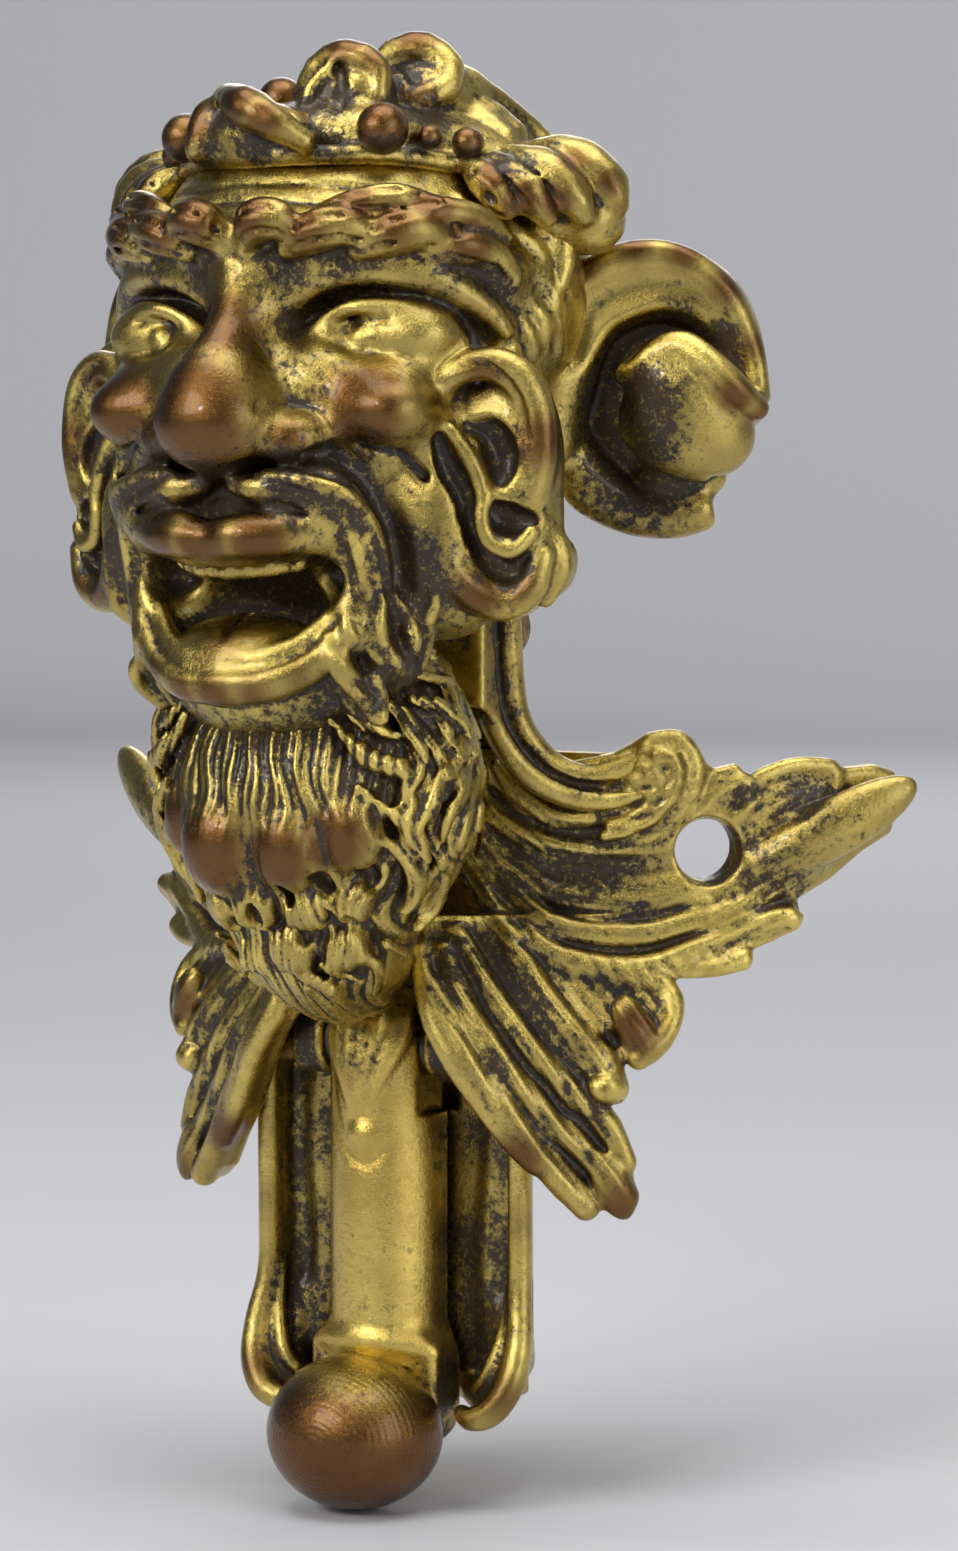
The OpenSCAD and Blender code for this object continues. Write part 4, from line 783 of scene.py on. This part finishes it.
# flat ribbon face with a rounded ridge along its outer edge
coil.rope([(a * 0.96, b * 0.96, 3.6, 0.72 * r) for (a, b), r in zip(ribbon[2:8], width[2:])], 0.8, True)
coil.rope([(-10.4, 0.6, 0.4, 0.8), (-9.2, 4.6, 0.8, 0.9), (-7.3, 7.6, 1.0, 0.95), (-4.8, 9.5, 1.0, 1.0),
    (-2.3, 10.3, 1.0, 1.0), (0.4, 10.2, 1.0, 1.0), (2.9, 9.0, 1.0, 1.0), (5.4, 6.3, 1.0, 1.0),
    (7.0, 2.6, 1.0, 0.95), (7.6, -1.0, 1.4, 0.9)], 0.8)
# the end folds forward and in, as a thick bud under a crest
coil.lump((1.8, -3.4, 1.1), (5.6, 4.3, 3.3), 0.9, (0, 0, -18))
coil.lump((1.8, -0.4, 1.4), (4.8, 3.0, 3.2), 1.6, (0, 0, -30))
coil.rope([(-3.4, 0.4, 1.6, 0.8), (-1.4, 2.0, 2.2, 1.2), (1.2, 2.8, 2.8, 1.4), (3.4, 1.4, 3.6, 1.4),
    (5.6, -0.6, 3.8, 1.3), (7.3, -2.0, 2.8, 1.0)], 0.8)
coil.rope([(-3.4, 2.2, 2.6, 0.8), (-0.6, 4.8, 2.6, 0.9), (2.2, 5.2, 2.6, 1.0), (4.6, 3.3, 2.6, 1.0),
    (6.0, 1.0, 2.4, 0.6)], 0.5, True)
coil.lump((-4.4, -1.8, 3.4), (1.9, 3.6, 2.6), 0.7, (0, 0, 8), True)
# the lower wall of the root, cut off square
coil.rope([(-8.4, -4, -2.4, 2.4), (-6.4, -7.4, -2.6, 2.5), (-3.0, -9.8, -2.6, 2.2),
    (0.6, -10.6, -2.2, 1.9), (3.0, -10.2, -1.8, 1.7)], 0.6)
where, (a, b, c) = coil.window((-30, -30, -30), (30, 30, 30))
coil.blend(where, np.maximum(2.6 - a - 0.15 * b, b + 7.4) + 0 * c, 0.3, True)
# the web between bud and root
coil.lump((1.6, -7.4, -1.8), (3.6, 2.2, 1.5), 0.8)
# flat seat against the skull's boss
boss_x = 16.2
coil.blend(where, horn_x + horn_cos * a + horn_sin * c - boss_x + 0 * b, 0.3, True)
# negative spots put painted shade in the eye of the turn, in the groove under the crest, in the hollow
# beside the bud and on the lower wall of the root; positive ones rub the outer ridge and the bud to copper
horn_rubs_and_shade = [(-4, -1.5, 0.6, 3.4, -1.0), (1, 5, 1.6, 2, -0.8), (4.6, 3.3, 1.6, 2, -0.8),
    (-2, -9, 0, 5, -0.9), (-1.8, -1.6, 4.0, 3.0, -1.1), (-1.6, -4.6, 3.6, 3.0, -1.1),
    (-9.2, 5.2, 1.6, 2.0, 0.8), (-6.4, 9.2, 1.6, 2.0, 0.9), (-2.4, 11, 1.6, 2.2, 0.9),
    (1.6, 10.4, 1.6, 2.2, 0.9), (5.0, 7.6, 1.6, 2.2, 0.9), (7.6, 3, 1.6, 2.0, 0.8),
    (5.6, -1.2, 5.2, 2.2, 1.0), (7.6, -2.4, 3, 2.0, 0.9)]


def set_down(shape, name):
    """A finished mesh as a piece in its place."""
    mesh = bpy.data.meshes.new(name)
    shape.to_mesh(mesh)
    piece = bpy.data.objects.new(name, mesh)
    bpy.context.collection.objects.link(piece)
    return piece


# one short dowel for each horn
peg_r, peg_long = 1.6 * mm, 4.4 * mm
peg_x, peg_y, peg_z = 16.3 * mm, -22.5 * mm, 39 * mm
pegs = bmesh.new()
for side in (1, -1):
    made = bmesh.ops.create_cone(pegs, cap_ends=True, segments=32, radius1=peg_r, radius2=peg_r,
        depth=peg_long)
    for v in made["verts"]:
        v.co = (v.co.z + side * peg_x, v.co.x + peg_y, v.co.y + peg_z)
bmesh.ops.recalc_face_normals(pegs, faces=pegs.faces)
peg_piece = set_down(pegs, "horn_dowel_pegs")
peg_piece.data.materials.append(gilt_bronze)
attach(peg_piece, "plate")
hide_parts("horn_dowels")
for side, name in ((1, "horn_right"), (-1, "horn_left")):
    def on_skull(p):
        a, b, c = p.T
        along, back = horn_cos * a + horn_sin * c, horn_sin * a - horn_cos * c
        return np.stack((side * (horn_x + along), horn_y + back, horn_z + b), 1)
    piece = coil.fire(name + "_coil", horn_rubs_and_shade, on_skull)
    piece.data.materials.append(gilt_bronze)
    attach(piece, "plate")
    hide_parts(name)

# Wreath: a crown of vine leaves with a whorl on top, cast as one cap with a
# thin rim above the forehead and held on the crown by a stud.
crown = Clay((-27, -46, 43), (27, -8, 67.5), 0.32)
crown.lump((0, -24.2, 55), (14.6, 12.4, 6.2), 1)
crown.lump((2, -21, 57), (9, 8, 5), 2)
crown.lump((1.5, -33, 57.2), (9.5, 5.2, 3.2), 1.5)
rim = [(-14.6, -22, 53.6, 0.7), (-13.6, -29, 54.4, 0.75), (-10.8, -34, 55.2, 0.8), (-6, -38.4, 55.6, 0.8),
    (0, -39.8, 55.5, 0.8), (5, -38.9, 55.6, 0.8), (9.5, -35.6, 55.5, 0.8), (12.8, -30.6, 54.8, 0.75),
    (14.6, -24, 53.6, 0.7)]
crown.rope(rim, 0.8)
# the leaf over the forehead, the lobed leaf behind it and the whorl
crown.lump((-1.5, -38.4, 57.4), (4.8, 2.6, 2.6), 1)
crown.rope([(-3.6, -39.4, 60.2, 1.2), (-0.8, -41.4, 59.4, 1.6), (1.6, -41.6, 58.2, 1.5),
    (4.0, -40.4, 56.6, 0.9)], 0.6)
crown.rope([(-3.4, -38.2, 60.2, 1.2), (-5.6, -38.8, 58.6, 1.6), (-6.2, -39.4, 56.4, 1.3)], 0.6)
crown.rope([(-2.2, -41.4, 57.6, 0.4), (-3.6, -40.6, 59.4, 0.4), (-3.8, -38, 61, 0.3)], 0.3, True)
crown.lump((3.2, -32.2, 60.6), (3.8, 3.4, 2.8), 1)
crown.rope([(-0.2, -33.6, 60.8, 0.9), (1.2, -33.6, 62.8, 1.1), (3.6, -33.4, 63.6, 1.4),
    (6.0, -33, 62.6, 1.2), (6.6, -33.4, 60.6, 0.9)], 0.5)
crown.rope([(1.2, -36.4, 59, 0.5), (2.0, -35.8, 61.2, 0.6), (3.2, -34.6, 63, 0.5)], 0.3)
crown.rope([(4.6, -36, 59.4, 0.4), (4.2, -35.2, 61.4, 0.5), (3.4, -34.4, 62.8, 0.4)], 0.35, True)
crown.lump((6.6, -25.4, 60.8), (3.8, 4.4, 3.4), 1.2)
crown.rope([(4.0, -30, 61, 1.1), (4.4, -28.6, 63.4, 1.3), (6.6, -27.4, 64.5, 1.4),
    (8.8, -26.8, 63.2, 1.3), (9.2, -27.8, 61.2, 1.2), (7.4, -29.8, 60.4, 1.1), (6.2, -30, 61.8, 0.9)], 0.4)
crown.rope([(5.2, -31, 62.6, 0.4), (6.8, -30, 63, 0.5), (7.8, -29.6, 62, 0.4)], 0.3, True)
crown.rope([(9.6, -24, 62, 0.9), (11.2, -20, 59.6, 0.9), (13.4, -16.6, 56.6, 0.7)], 1)
# the leaf above each horn: its mass, four lobes and the grooves down them
horn_leaf = [
    ([(12.6, -25, 52.4, 4.6), (17.4, -24.8, 51.6, 3.6), (20.6, -24.4, 50.8, 2.8)], 1.5, False),
    ([(13.6, -31.4, 55.0, 0.9), (15.4, -31.8, 53.6, 1.5), (16.6, -31.8, 52.2, 1.3),
        (17.0, -31.4, 51.4, 0.9)], 0.7, False),
    ([(14.6, -30.0, 55.4, 0.9), (17.4, -30.2, 53.4, 1.7), (18.9, -29.9, 51.9, 1.4),
        (19.5, -29.5, 50.8, 0.9)], 0.7, False),
    ([(15.4, -28.2, 55.8, 0.9), (18.8, -28.2, 54.4, 1.8), (20.9, -27.8, 52.4, 1.5),
        (21.6, -27.3, 51.0, 0.9)], 0.7, False),
    ([(15.6, -25.6, 56.2, 0.9), (19.4, -25.4, 55.6, 1.8), (22.2, -25.0, 53.8, 1.7),
        (23.3, -24.8, 52.0, 0.9)], 0.7, False),
    ([(15.0, -32.9, 54.2, 0.15), (16.6, -33.0, 52.0, 0.25)], 0.3, True),
    ([(16.8, -31.8, 54.0, 0.2), (18.8, -31.5, 51.8, 0.3), (19.6, -30.8, 50.4, 0.2)], 0.3, True),
    ([(18.4, -30.2, 54.6, 0.2), (20.8, -29.6, 52.0, 0.3), (21.8, -29.0, 50.4, 0.2)], 0.3, True),
    ([(19.6, -28.2, 56.0, 0.2), (22.4, -27.6, 53.8, 0.3), (23.8, -27.0, 51.4, 0.2)], 0.3, True)]
for points, soft, cut in horn_leaf:
    pair_of(crown, points, soft, cut)
# smaller leaves laid over the crown, their tips towards the back
for turn in range(-78, 79, 26):
    for drift, r in ((-9, 1.5), (0, 2.1), (9, 1.5)):
        way = math.radians(turn + drift)
        leaf = []
        for t in np.linspace(0.25, 1, 6):
            px, py = 14.2 * t * math.sin(way) + 1, -25.4 + 12.6 * t * math.cos(way)
            drop = 1 - (px / 14.8) ** 2 - ((py + 24.2) / 12.8) ** 2
            if drop > 0.02:
                leaf.append((px, py, 54.6 + 6.2 * math.sqrt(drop), r * math.sin(math.pi * (0.2 + 0.7 * t))))
        if len(leaf) > 2:
            crown.rope(leaf, 0.5)
where, (x, y, z) = crown.window((-40, -60, 30), (40, 10, 80))
# crinkled surface of the leaves
crinkle = np.sin(2.3 * x + 0.9 * np.sin(1.1 * z)) * np.sin(1.9 * y + 1.3 * np.sin(0.8 * x))
crown.field[where] += np.float32(0.07 * crinkle * np.sin(2.1 * z + 0.7 * x))
# the hollow that fits over the skull
crown.blend(where, ((x / 17.2) ** 2 + ((y + 27.3) / 16.6) ** 2 + ((z - 42) / 18.4) ** 2 - 1) * 7, 0.3, True)
wreath_rubs = [(-0.8, -43, 60, 2.6, 1.1), (2, -43, 58.4, 2.2, 1.0), (-6.4, -40.4, 58.6, 2.4, 1.0),
    (3.6, -34, 65, 2.6, 1.0), (6.2, -33.6, 63.4, 2, 0.8), (6.6, -28, 65.8, 2.4, 1.0),
    (8.4, -30.6, 61, 2, 0.8), (5, -31, 61, 2, 0.9)]
wreath_rubs += mirrored([(16.6, -32.6, 54.2, 1.7, 1.1), (18.4, -31.8, 52.2, 1.7, 1.1),
    (21.0, -28.0, 55.6, 1.7, 1.1), (23.6, -26.8, 53.6, 1.7, 1.1), (24.8, -26, 51.2, 1.7, 1.1),
    (20.6, -30, 52.0, 1.7, 1.1), (17.2, -31.6, 55, 2.2, -0.6), (15.4, -32.4, 53, 2.2, -0.6),
    (12, -21, 59, 2.2, -0.6), (9, -30, 58.6, 2.2, -0.6)])
wreath_rubs += [(4.2, -36.4, 60.6, 2, -0.8), (1.4, -36.2, 59.4, 2, -0.8), (6.8, -30.4, 62.4, 2, -0.8),
    (0, -34.6, 59, 3, -0.8), (9, -33, 59, 3, -0.8), (-3.6, -40.8, 59, 1.6, -0.8), (4, -39.6, 57, 2, -0.8),
    (0, -40.6, 55.2, 2.4, -0.8), (-6, -39.4, 55.2, 2.4, -0.8), (6, -39.4, 55.2, 2.4, -0.8),
    (11, -35.4, 55, 2.4, -0.8)]
wreath = crown.fire("vine_wreath_cap", wreath_rubs)
wreath.data.materials.append(leaf_bronze)
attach(wreath, "plate")
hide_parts("vine_wreath")

# Grapes: round berries set among the leaves, their gilding rubbed down to the
# copper-brown bronze.
# place and radius of each berry
berries = [(9.2, -37.2, 57.6, 2.05), (-9.4, -36.6, 57.4, 2.0), (11.9, -34.6, 57.0, 1.0),
    (-12, -34, 56.8, 1.0), (13.6, -31.6, 56.6, 1.3), (-13.8, -31.2, 56.4, 1.3), (-4.6, -30, 60.6, 1.9)]
bunch = bmesh.new()
for x, y, z, r in berries:
    made = bmesh.ops.create_uvsphere(bunch, u_segments=40, v_segments=24, radius=r * mm)
    bmesh.ops.translate(bunch, verts=made["verts"], vec=(x * mm, y * mm, z * mm))
grapes = set_down(bunch, "grapes_bunch")
grapes.data.shade_smooth()
# painted shade on the berries' undersides and backs, where they sink in between the leaves
underside_shade = [max(0.0, -v.normal.z * 1.4 - 0.1) + max(0.0, v.normal.y * 0.8) for v in grapes.data.vertices]
grapes.data.attributes.new("grime_and_shade", "FLOAT", "POINT").data.foreach_set("value", underside_shade)
grapes.data.materials.append(bronze("worn_bronze", copper="#6B4324", dirt=0.03, bare=0.75))
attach(grapes, "plate")
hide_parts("grapes")

# Striker: the half-round arm that hangs in the channel and swings on the hinge
# pin, with a square foot for the ball. Satin gilt bronze, smooth from handling.
arm = Clay((-7.5, -28.5, -51), (7.5, -17.5, -10), 0.24)


def rounded(first, second, r):
    """Where two slabs cross, with the corners rounded."""
    return np.sqrt(np.maximum(first + r, 0) ** 2 + np.maximum(second + r, 0) ** 2) - r


where, (x, y, z) = arm.window((-30, -40, -60), (30, 0, 0))
column = np.maximum(np.sqrt(x * x + (y - pin_y) ** 2) - arm_r, slab(z, -29, 13))
arm.field[where] = np.minimum(column, np.sqrt(x * x + (y - pin_y) ** 2 + (z - pin_z) ** 2) - arm_r)
# the foot: a block with round corners, 3.4 mm seen from the front and 0.7 mm along its edges
tile = rounded(slab(x, 0, 6), slab(z, -44.3, 5.2), 3.4)
arm.blend(where, rounded(tile, slab(y, -21.7, 2.33), 0.7), 1.4, False)
# ledge over the ball
arm.rope([(-5.4, -23.2, -41.0, 0.5), (-3.0, -24.6, -40.4, 0.8), (0, -25.3, -40.2, 0.9),
    (3.0, -24.6, -40.4, 0.8), (5.4, -23.2, -41.0, 0.5)], 0.9)
# the bud in low relief below the knuckle and the lines that frame it
arm.lump((0.2, -25.4, -23.2), (1.2, 0.8, 1.1), 0.6)
arm.rope([(-3.4, -24.9, -16.5, 0.3), (-3.2, -25.3, -20.5, 0.4), (-1.8, -26.0, -24.0, 0.35),
    (0.4, -26.3, -25.4, 0.3), (2.2, -25.9, -24.4, 0.2)], 0.9, True)
arm.rope([(1.4, -26.2, -21.6, 0.3), (0.2, -26.3, -21.4, 0.4), (-0.9, -26.2, -22.0, 0.3)], 0.4, True)
# the combed tip of the beard runs out over the knuckle
for start, end, drop in ((62, 16, -19.5), (44, 8, -21.5), (24, 2, -20.5), (6, -3, -22.0),
        (-14, -6, -21.0), (-34, -9, -21.5), (-54, -17, -19.5)):
    strand = []
    for t in np.linspace(0, 1, 6):
        turn = math.radians(start + (end - start) * t)
        reach = 4.75 * math.sin(math.acos(0.85 * (1 - t) ** 2))
        place = (reach * math.sin(turn), pin_y - reach * math.cos(turn), -12.2 + (drop + 12.2) * t)
        strand.append((*place, 0.9 * (1 - t) ** 0.4 + 0.12))
    arm.rope(strand, 0.35)
# flat back, flats for the washers, bore for the pin
back_y, washer_x, washer_end, bore_r = -19.33, 4.2, -21.5, 1.55
arm.blend(where, back_y - y + 0 * (x + z), 0.2, True)
arm.blend(where, np.maximum(washer_x - np.abs(x), washer_end - z) + 0 * y, 0.2, True)
arm.blend(where, np.sqrt((y - pin_y) ** 2 + (z - pin_z) ** 2) - bore_r + 0 * x, 0.1, True)
# negative spots put painted shade at the knuckle under the beard's tip, down both sides of the arm where it
# lies in the channel, and on the sides of the foot; the small positive spot rubs the bud
arm_rubs_and_shade = [(0, -26, -22.4, 3, 0.2), (0, -25.6, -17, 3, -0.5)]
arm_rubs_and_shade += mirrored([(arm_r, -20.2, z, 2.0, -0.6) for z in range(-20, -39, -3)])
arm_rubs_and_shade += mirrored([(6, -22, -44, 3, -1.2), (4, -22, -49, 3, -1.2), (4.4, -22.5, -14, 3, -0.6)])
striker = arm.fire("striker_arm", arm_rubs_and_shade)
striker.data.materials.append(bronze("arm_gilt", gilt="#E8CC6C", shade="#C4A654", dirt=-0.06))
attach(striker, "striker")
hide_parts("striker")

# Ball grip: a turned bronze ball screwed to the foot of the arm, worn down to
# copper-brown with a trace of gilding left on top and fine turning lines.
ball_r, ball_y, ball_z = 6.85 * mm, -26.63 * mm, -47.58 * mm
ball = bmesh.new()
bmesh.ops.create_uvsphere(ball, u_segments=128, v_segments=160, radius=ball_r)
# 39 turning lines from pole to pole, about 0.55 mm apart, their depth as a share of the radius
lines, line_depth = 39, 0.0016
for v in ball.verts:
    turn = math.acos(max(-1, min(1, v.co.z / v.co.length)))
    v.co *= 1 + line_depth * (math.sin(2 * lines * turn) - 1)
whole = ball.verts[:] + ball.edges[:] + ball.faces[:]
seat = (0, 0, -2.6 * mm)
bmesh.ops.bisect_plane(ball, geom=whole, plane_co=seat, plane_no=(0, 0, -1), clear_outer=True)
bmesh.ops.holes_fill(ball, edges=[e for e in ball.edges if e.is_boundary])
# laid forward, a little wider than high
for v in ball.verts:
    v.co = (1.08 * v.co.x, ball_y - v.co.z, 0.93 * v.co.y + ball_z)
bmesh.ops.recalc_face_normals(ball, faces=ball.faces)
grip = set_down(ball, "ball_grip_turned")
grip.data.shade_smooth()
# the gilding is left on top, where the ball meets the arm
top = Vector((1, -26.2, -40.2)) * mm
handled = [0.85 - 1.2 * math.exp(-((v.co - top).length / (5.2 * mm)) ** 2) for v in grip.data.vertices]
grip.data.attributes.new("rub", "FLOAT", "POINT").data.foreach_set("value", handled)
grip.data.materials.append(bronze("ball_bronze", copper="#6E4826", dirt=0.02, patchy=0.8))
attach(grip, "striker")
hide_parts("ball_grip")

# Web: the flat bronze bar behind the channel that joins the two wings, part of
# the same casting as they are. It is seen only from the back.
web_wide, web_thick, web_high = 34 * mm, 2.4 * mm, 18 * mm
web_y, web_z = -14.83 * mm, -1 * mm
web = bmesh.new()
bmesh.ops.create_cube(web, size=1)
for v in web.verts:
    v.co = (v.co.x * web_wide, v.co.y * web_thick + web_y, v.co.z * web_high + web_z)
bmesh.ops.bevel(web, geom=web.edges[:], offset=0.4 * mm, segments=2, affect="EDGES")
web_piece = set_down(web, "leaf_web")
web_piece.data.materials.append(gilt_bronze)
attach(web_piece, "plate")
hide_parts("leaf_plate")

# Anvil: the stud let into the channel's floor that the striker knocks on, with
# a pillar behind it that tapers to the door.
anvil_z = -34 * mm
# y and radius from the striking face back to the door
turned = [(-18.73, 0), (-18.73, 2.4), (-18.53, 2.6), (-17.33, 2.6), (-17.33, 1.2), (-16.03, 1.2),
    (-16.03, 3.0), (-9, 2.7), (-2, 1.5), (0, 1.3), (0, 0)]
anvil = bmesh.new()
corners = [anvil.verts.new((r * mm, y * mm, anvil_z)) for y, r in turned]
edges = [anvil.edges.new(pair) for pair in zip(corners, corners[1:])]
bmesh.ops.spin(anvil, geom=corners + edges, cent=(0, 0, anvil_z), axis=(0, 1, 0), angle=2 * math.pi,
    steps=48, use_merge=True)
bmesh.ops.remove_doubles(anvil, verts=anvil.verts, dist=0.01 * mm)
bmesh.ops.recalc_face_normals(anvil, faces=anvil.faces)
anvil_piece = set_down(anvil, "anvil_stud_pillar")
anvil_piece.data.materials.append(leaf_bronze)
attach(anvil_piece, "plate")
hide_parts("anvil_stud")

# Fastenings: bronze screws, studs and collars, and the steel pin and washers of
# the hinge. Each is turned, and keeps the shape of its solid.
fastening = bronze("fastening_bronze", gilt="#B8964A", shade="#8C6B2F", dirt=0.1)
# plain turned steel, dark grey with a soft shine
pin_steel = bpy.data.materials.new("steel")
pin_steel.use_nodes = True
steel_face = pin_steel.node_tree.nodes["Principled BSDF"].inputs
steel_face["Base Color"].default_value = linear("#4C4844")
steel_face["Metallic"].default_value = 1
steel_face["Roughness"].default_value = 0.35
metals = dict.fromkeys(("hinge_pin", "hinge_washers"), pin_steel)
for name in ("plate_screws", "mask_screws", "wreath_stud", "ball_stud", "hammer_stud", "pin_collars"):
    metals[name] = fastening
for name, metal in metals.items():
    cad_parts[name].data.materials.clear()
    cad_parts[name].data.materials.append(metal)

# Stage: a pale floor that curves up into a plain wall well behind the piece, five
# soft boxes and the camera. Sizes here are in metres.
floor_z, floor_end, bend_r = -0.0541, 1.0, 0.4
bend = np.linspace(0.15, math.pi / 2, 10)
curve = [(floor_end + bend_r * math.sin(a), bend_r - bend_r * math.cos(a)) for a in bend]
profile = [(-1.6, 0.0), (floor_end, 0.0), *curve, (floor_end + bend_r, 2.0)]
floor_left, floor_wide = -2, 4
sweep = bmesh.new()
corners = [sweep.verts.new((floor_left, y, floor_z + z)) for y, z in profile]
edges = [sweep.edges.new(pair) for pair in zip(corners, corners[1:])]
drawn = bmesh.ops.extrude_edge_only(sweep, edges=edges)["geom"]
moved = [part for part in drawn if isinstance(part, bmesh.types.BMVert)]
bmesh.ops.translate(sweep, verts=moved, vec=(floor_wide, 0, 0))
floor = set_down(sweep, "floor")
floor.data.shade_smooth()
paper = bpy.data.materials.new("paper")
paper.use_nodes = True
sheet = paper.node_tree
paper_face = sheet.nodes["Principled BSDF"].inputs
paper_face["Base Color"].default_value = linear("#CECED2")
paper_face["Roughness"].default_value = 0.9
# painted light: the far wall glows by itself, more towards the back, so it shows pale to the camera and in
# the metal, and lights nothing dull
rays = add(sheet, "ShaderNodeLightPath", {}).outputs
seen = rays["Is Camera Ray"]
for kind in ("Is Glossy Ray", "Is Transmission Ray"):
    seen = add(sheet, "ShaderNodeMath", {0: seen, 1: rays[kind]}, operation="MAXIMUM").outputs[0]
place = add(sheet, "ShaderNodeTexCoord", {}).outputs["Object"]
behind = add(sheet, "ShaderNodeSeparateXYZ", {0: place}).outputs["Y"]
span = {"Value": behind, "From Min": 0.1, "From Max": 1.3, "To Max": 0.46}
wall_glow_ramp = add(sheet, "ShaderNodeMapRange", span, interpolation_type="SMOOTHSTEP").outputs["Result"]
glow = add(sheet, "ShaderNodeMath", {0: seen, 1: wall_glow_ramp}, operation="MULTIPLY").outputs[0]
paper_face["Emission Color"].default_value = linear("#CECED2")
sheet.links.new(glow, paper_face["Emission Strength"])
floor.data.materials.append(paper)

world = bpy.data.worlds.new("studio")
bpy.context.scene.world = world
world.use_nodes = True
world.node_tree.nodes["Background"].inputs["Color"].default_value = linear("#C8CACE")
world.node_tree.nodes["Background"].inputs["Strength"].default_value = 0.2


def soft_box(name, place, aim, size, power):
    """A white soft box in watts that points at its aim."""
    lamp = bpy.data.lights.new(name, "AREA")
    lamp.shape = "RECTANGLE"
    lamp.size, lamp.size_y = size
    lamp.energy = power
    holder = bpy.data.objects.new(name, lamp)
    holder.location = place
    holder.rotation_euler = (Vector(aim) - Vector(place)).to_track_quat("-Z", "Y").to_euler()
    bpy.context.collection.objects.link(holder)


soft_box("key", (-0.2, -0.55, 0.3), (0, -0.02, 0), (0.28, 0.28), 1.5)
soft_box("top", (0.05, -0.1, 0.6), (0, -0.02, 0), (0.6, 0.5), 3.4)
soft_box("glint", (-0.02, -0.6, 0.28), (0, -0.02, 0.01), (0.06, 0.06), 0.45)
soft_box("side", (0.55, -0.2, 0.12), (0, -0.02, 0), (0.25, 0.5), 1.1)
soft_box("back", (-0.35, 0.7, 0.4), (0, -0.02, 0), (0.4, 0.4), 1.2)

lens = bpy.data.cameras.new("camera")
lens.sensor_width = 36
lens.lens = 113.22
camera = bpy.data.objects.new("camera", lens)
camera.location = (0.20627, -0.36357, 0.03390)
middle = Vector((0.006755, -0.018, 0.006))
camera.rotation_euler = (middle - camera.location).to_track_quat("-Z", "Y").to_euler()
bpy.context.collection.objects.link(camera)
bpy.context.scene.camera = camera
bpy.context.scene.view_settings.view_transform = "Standard"
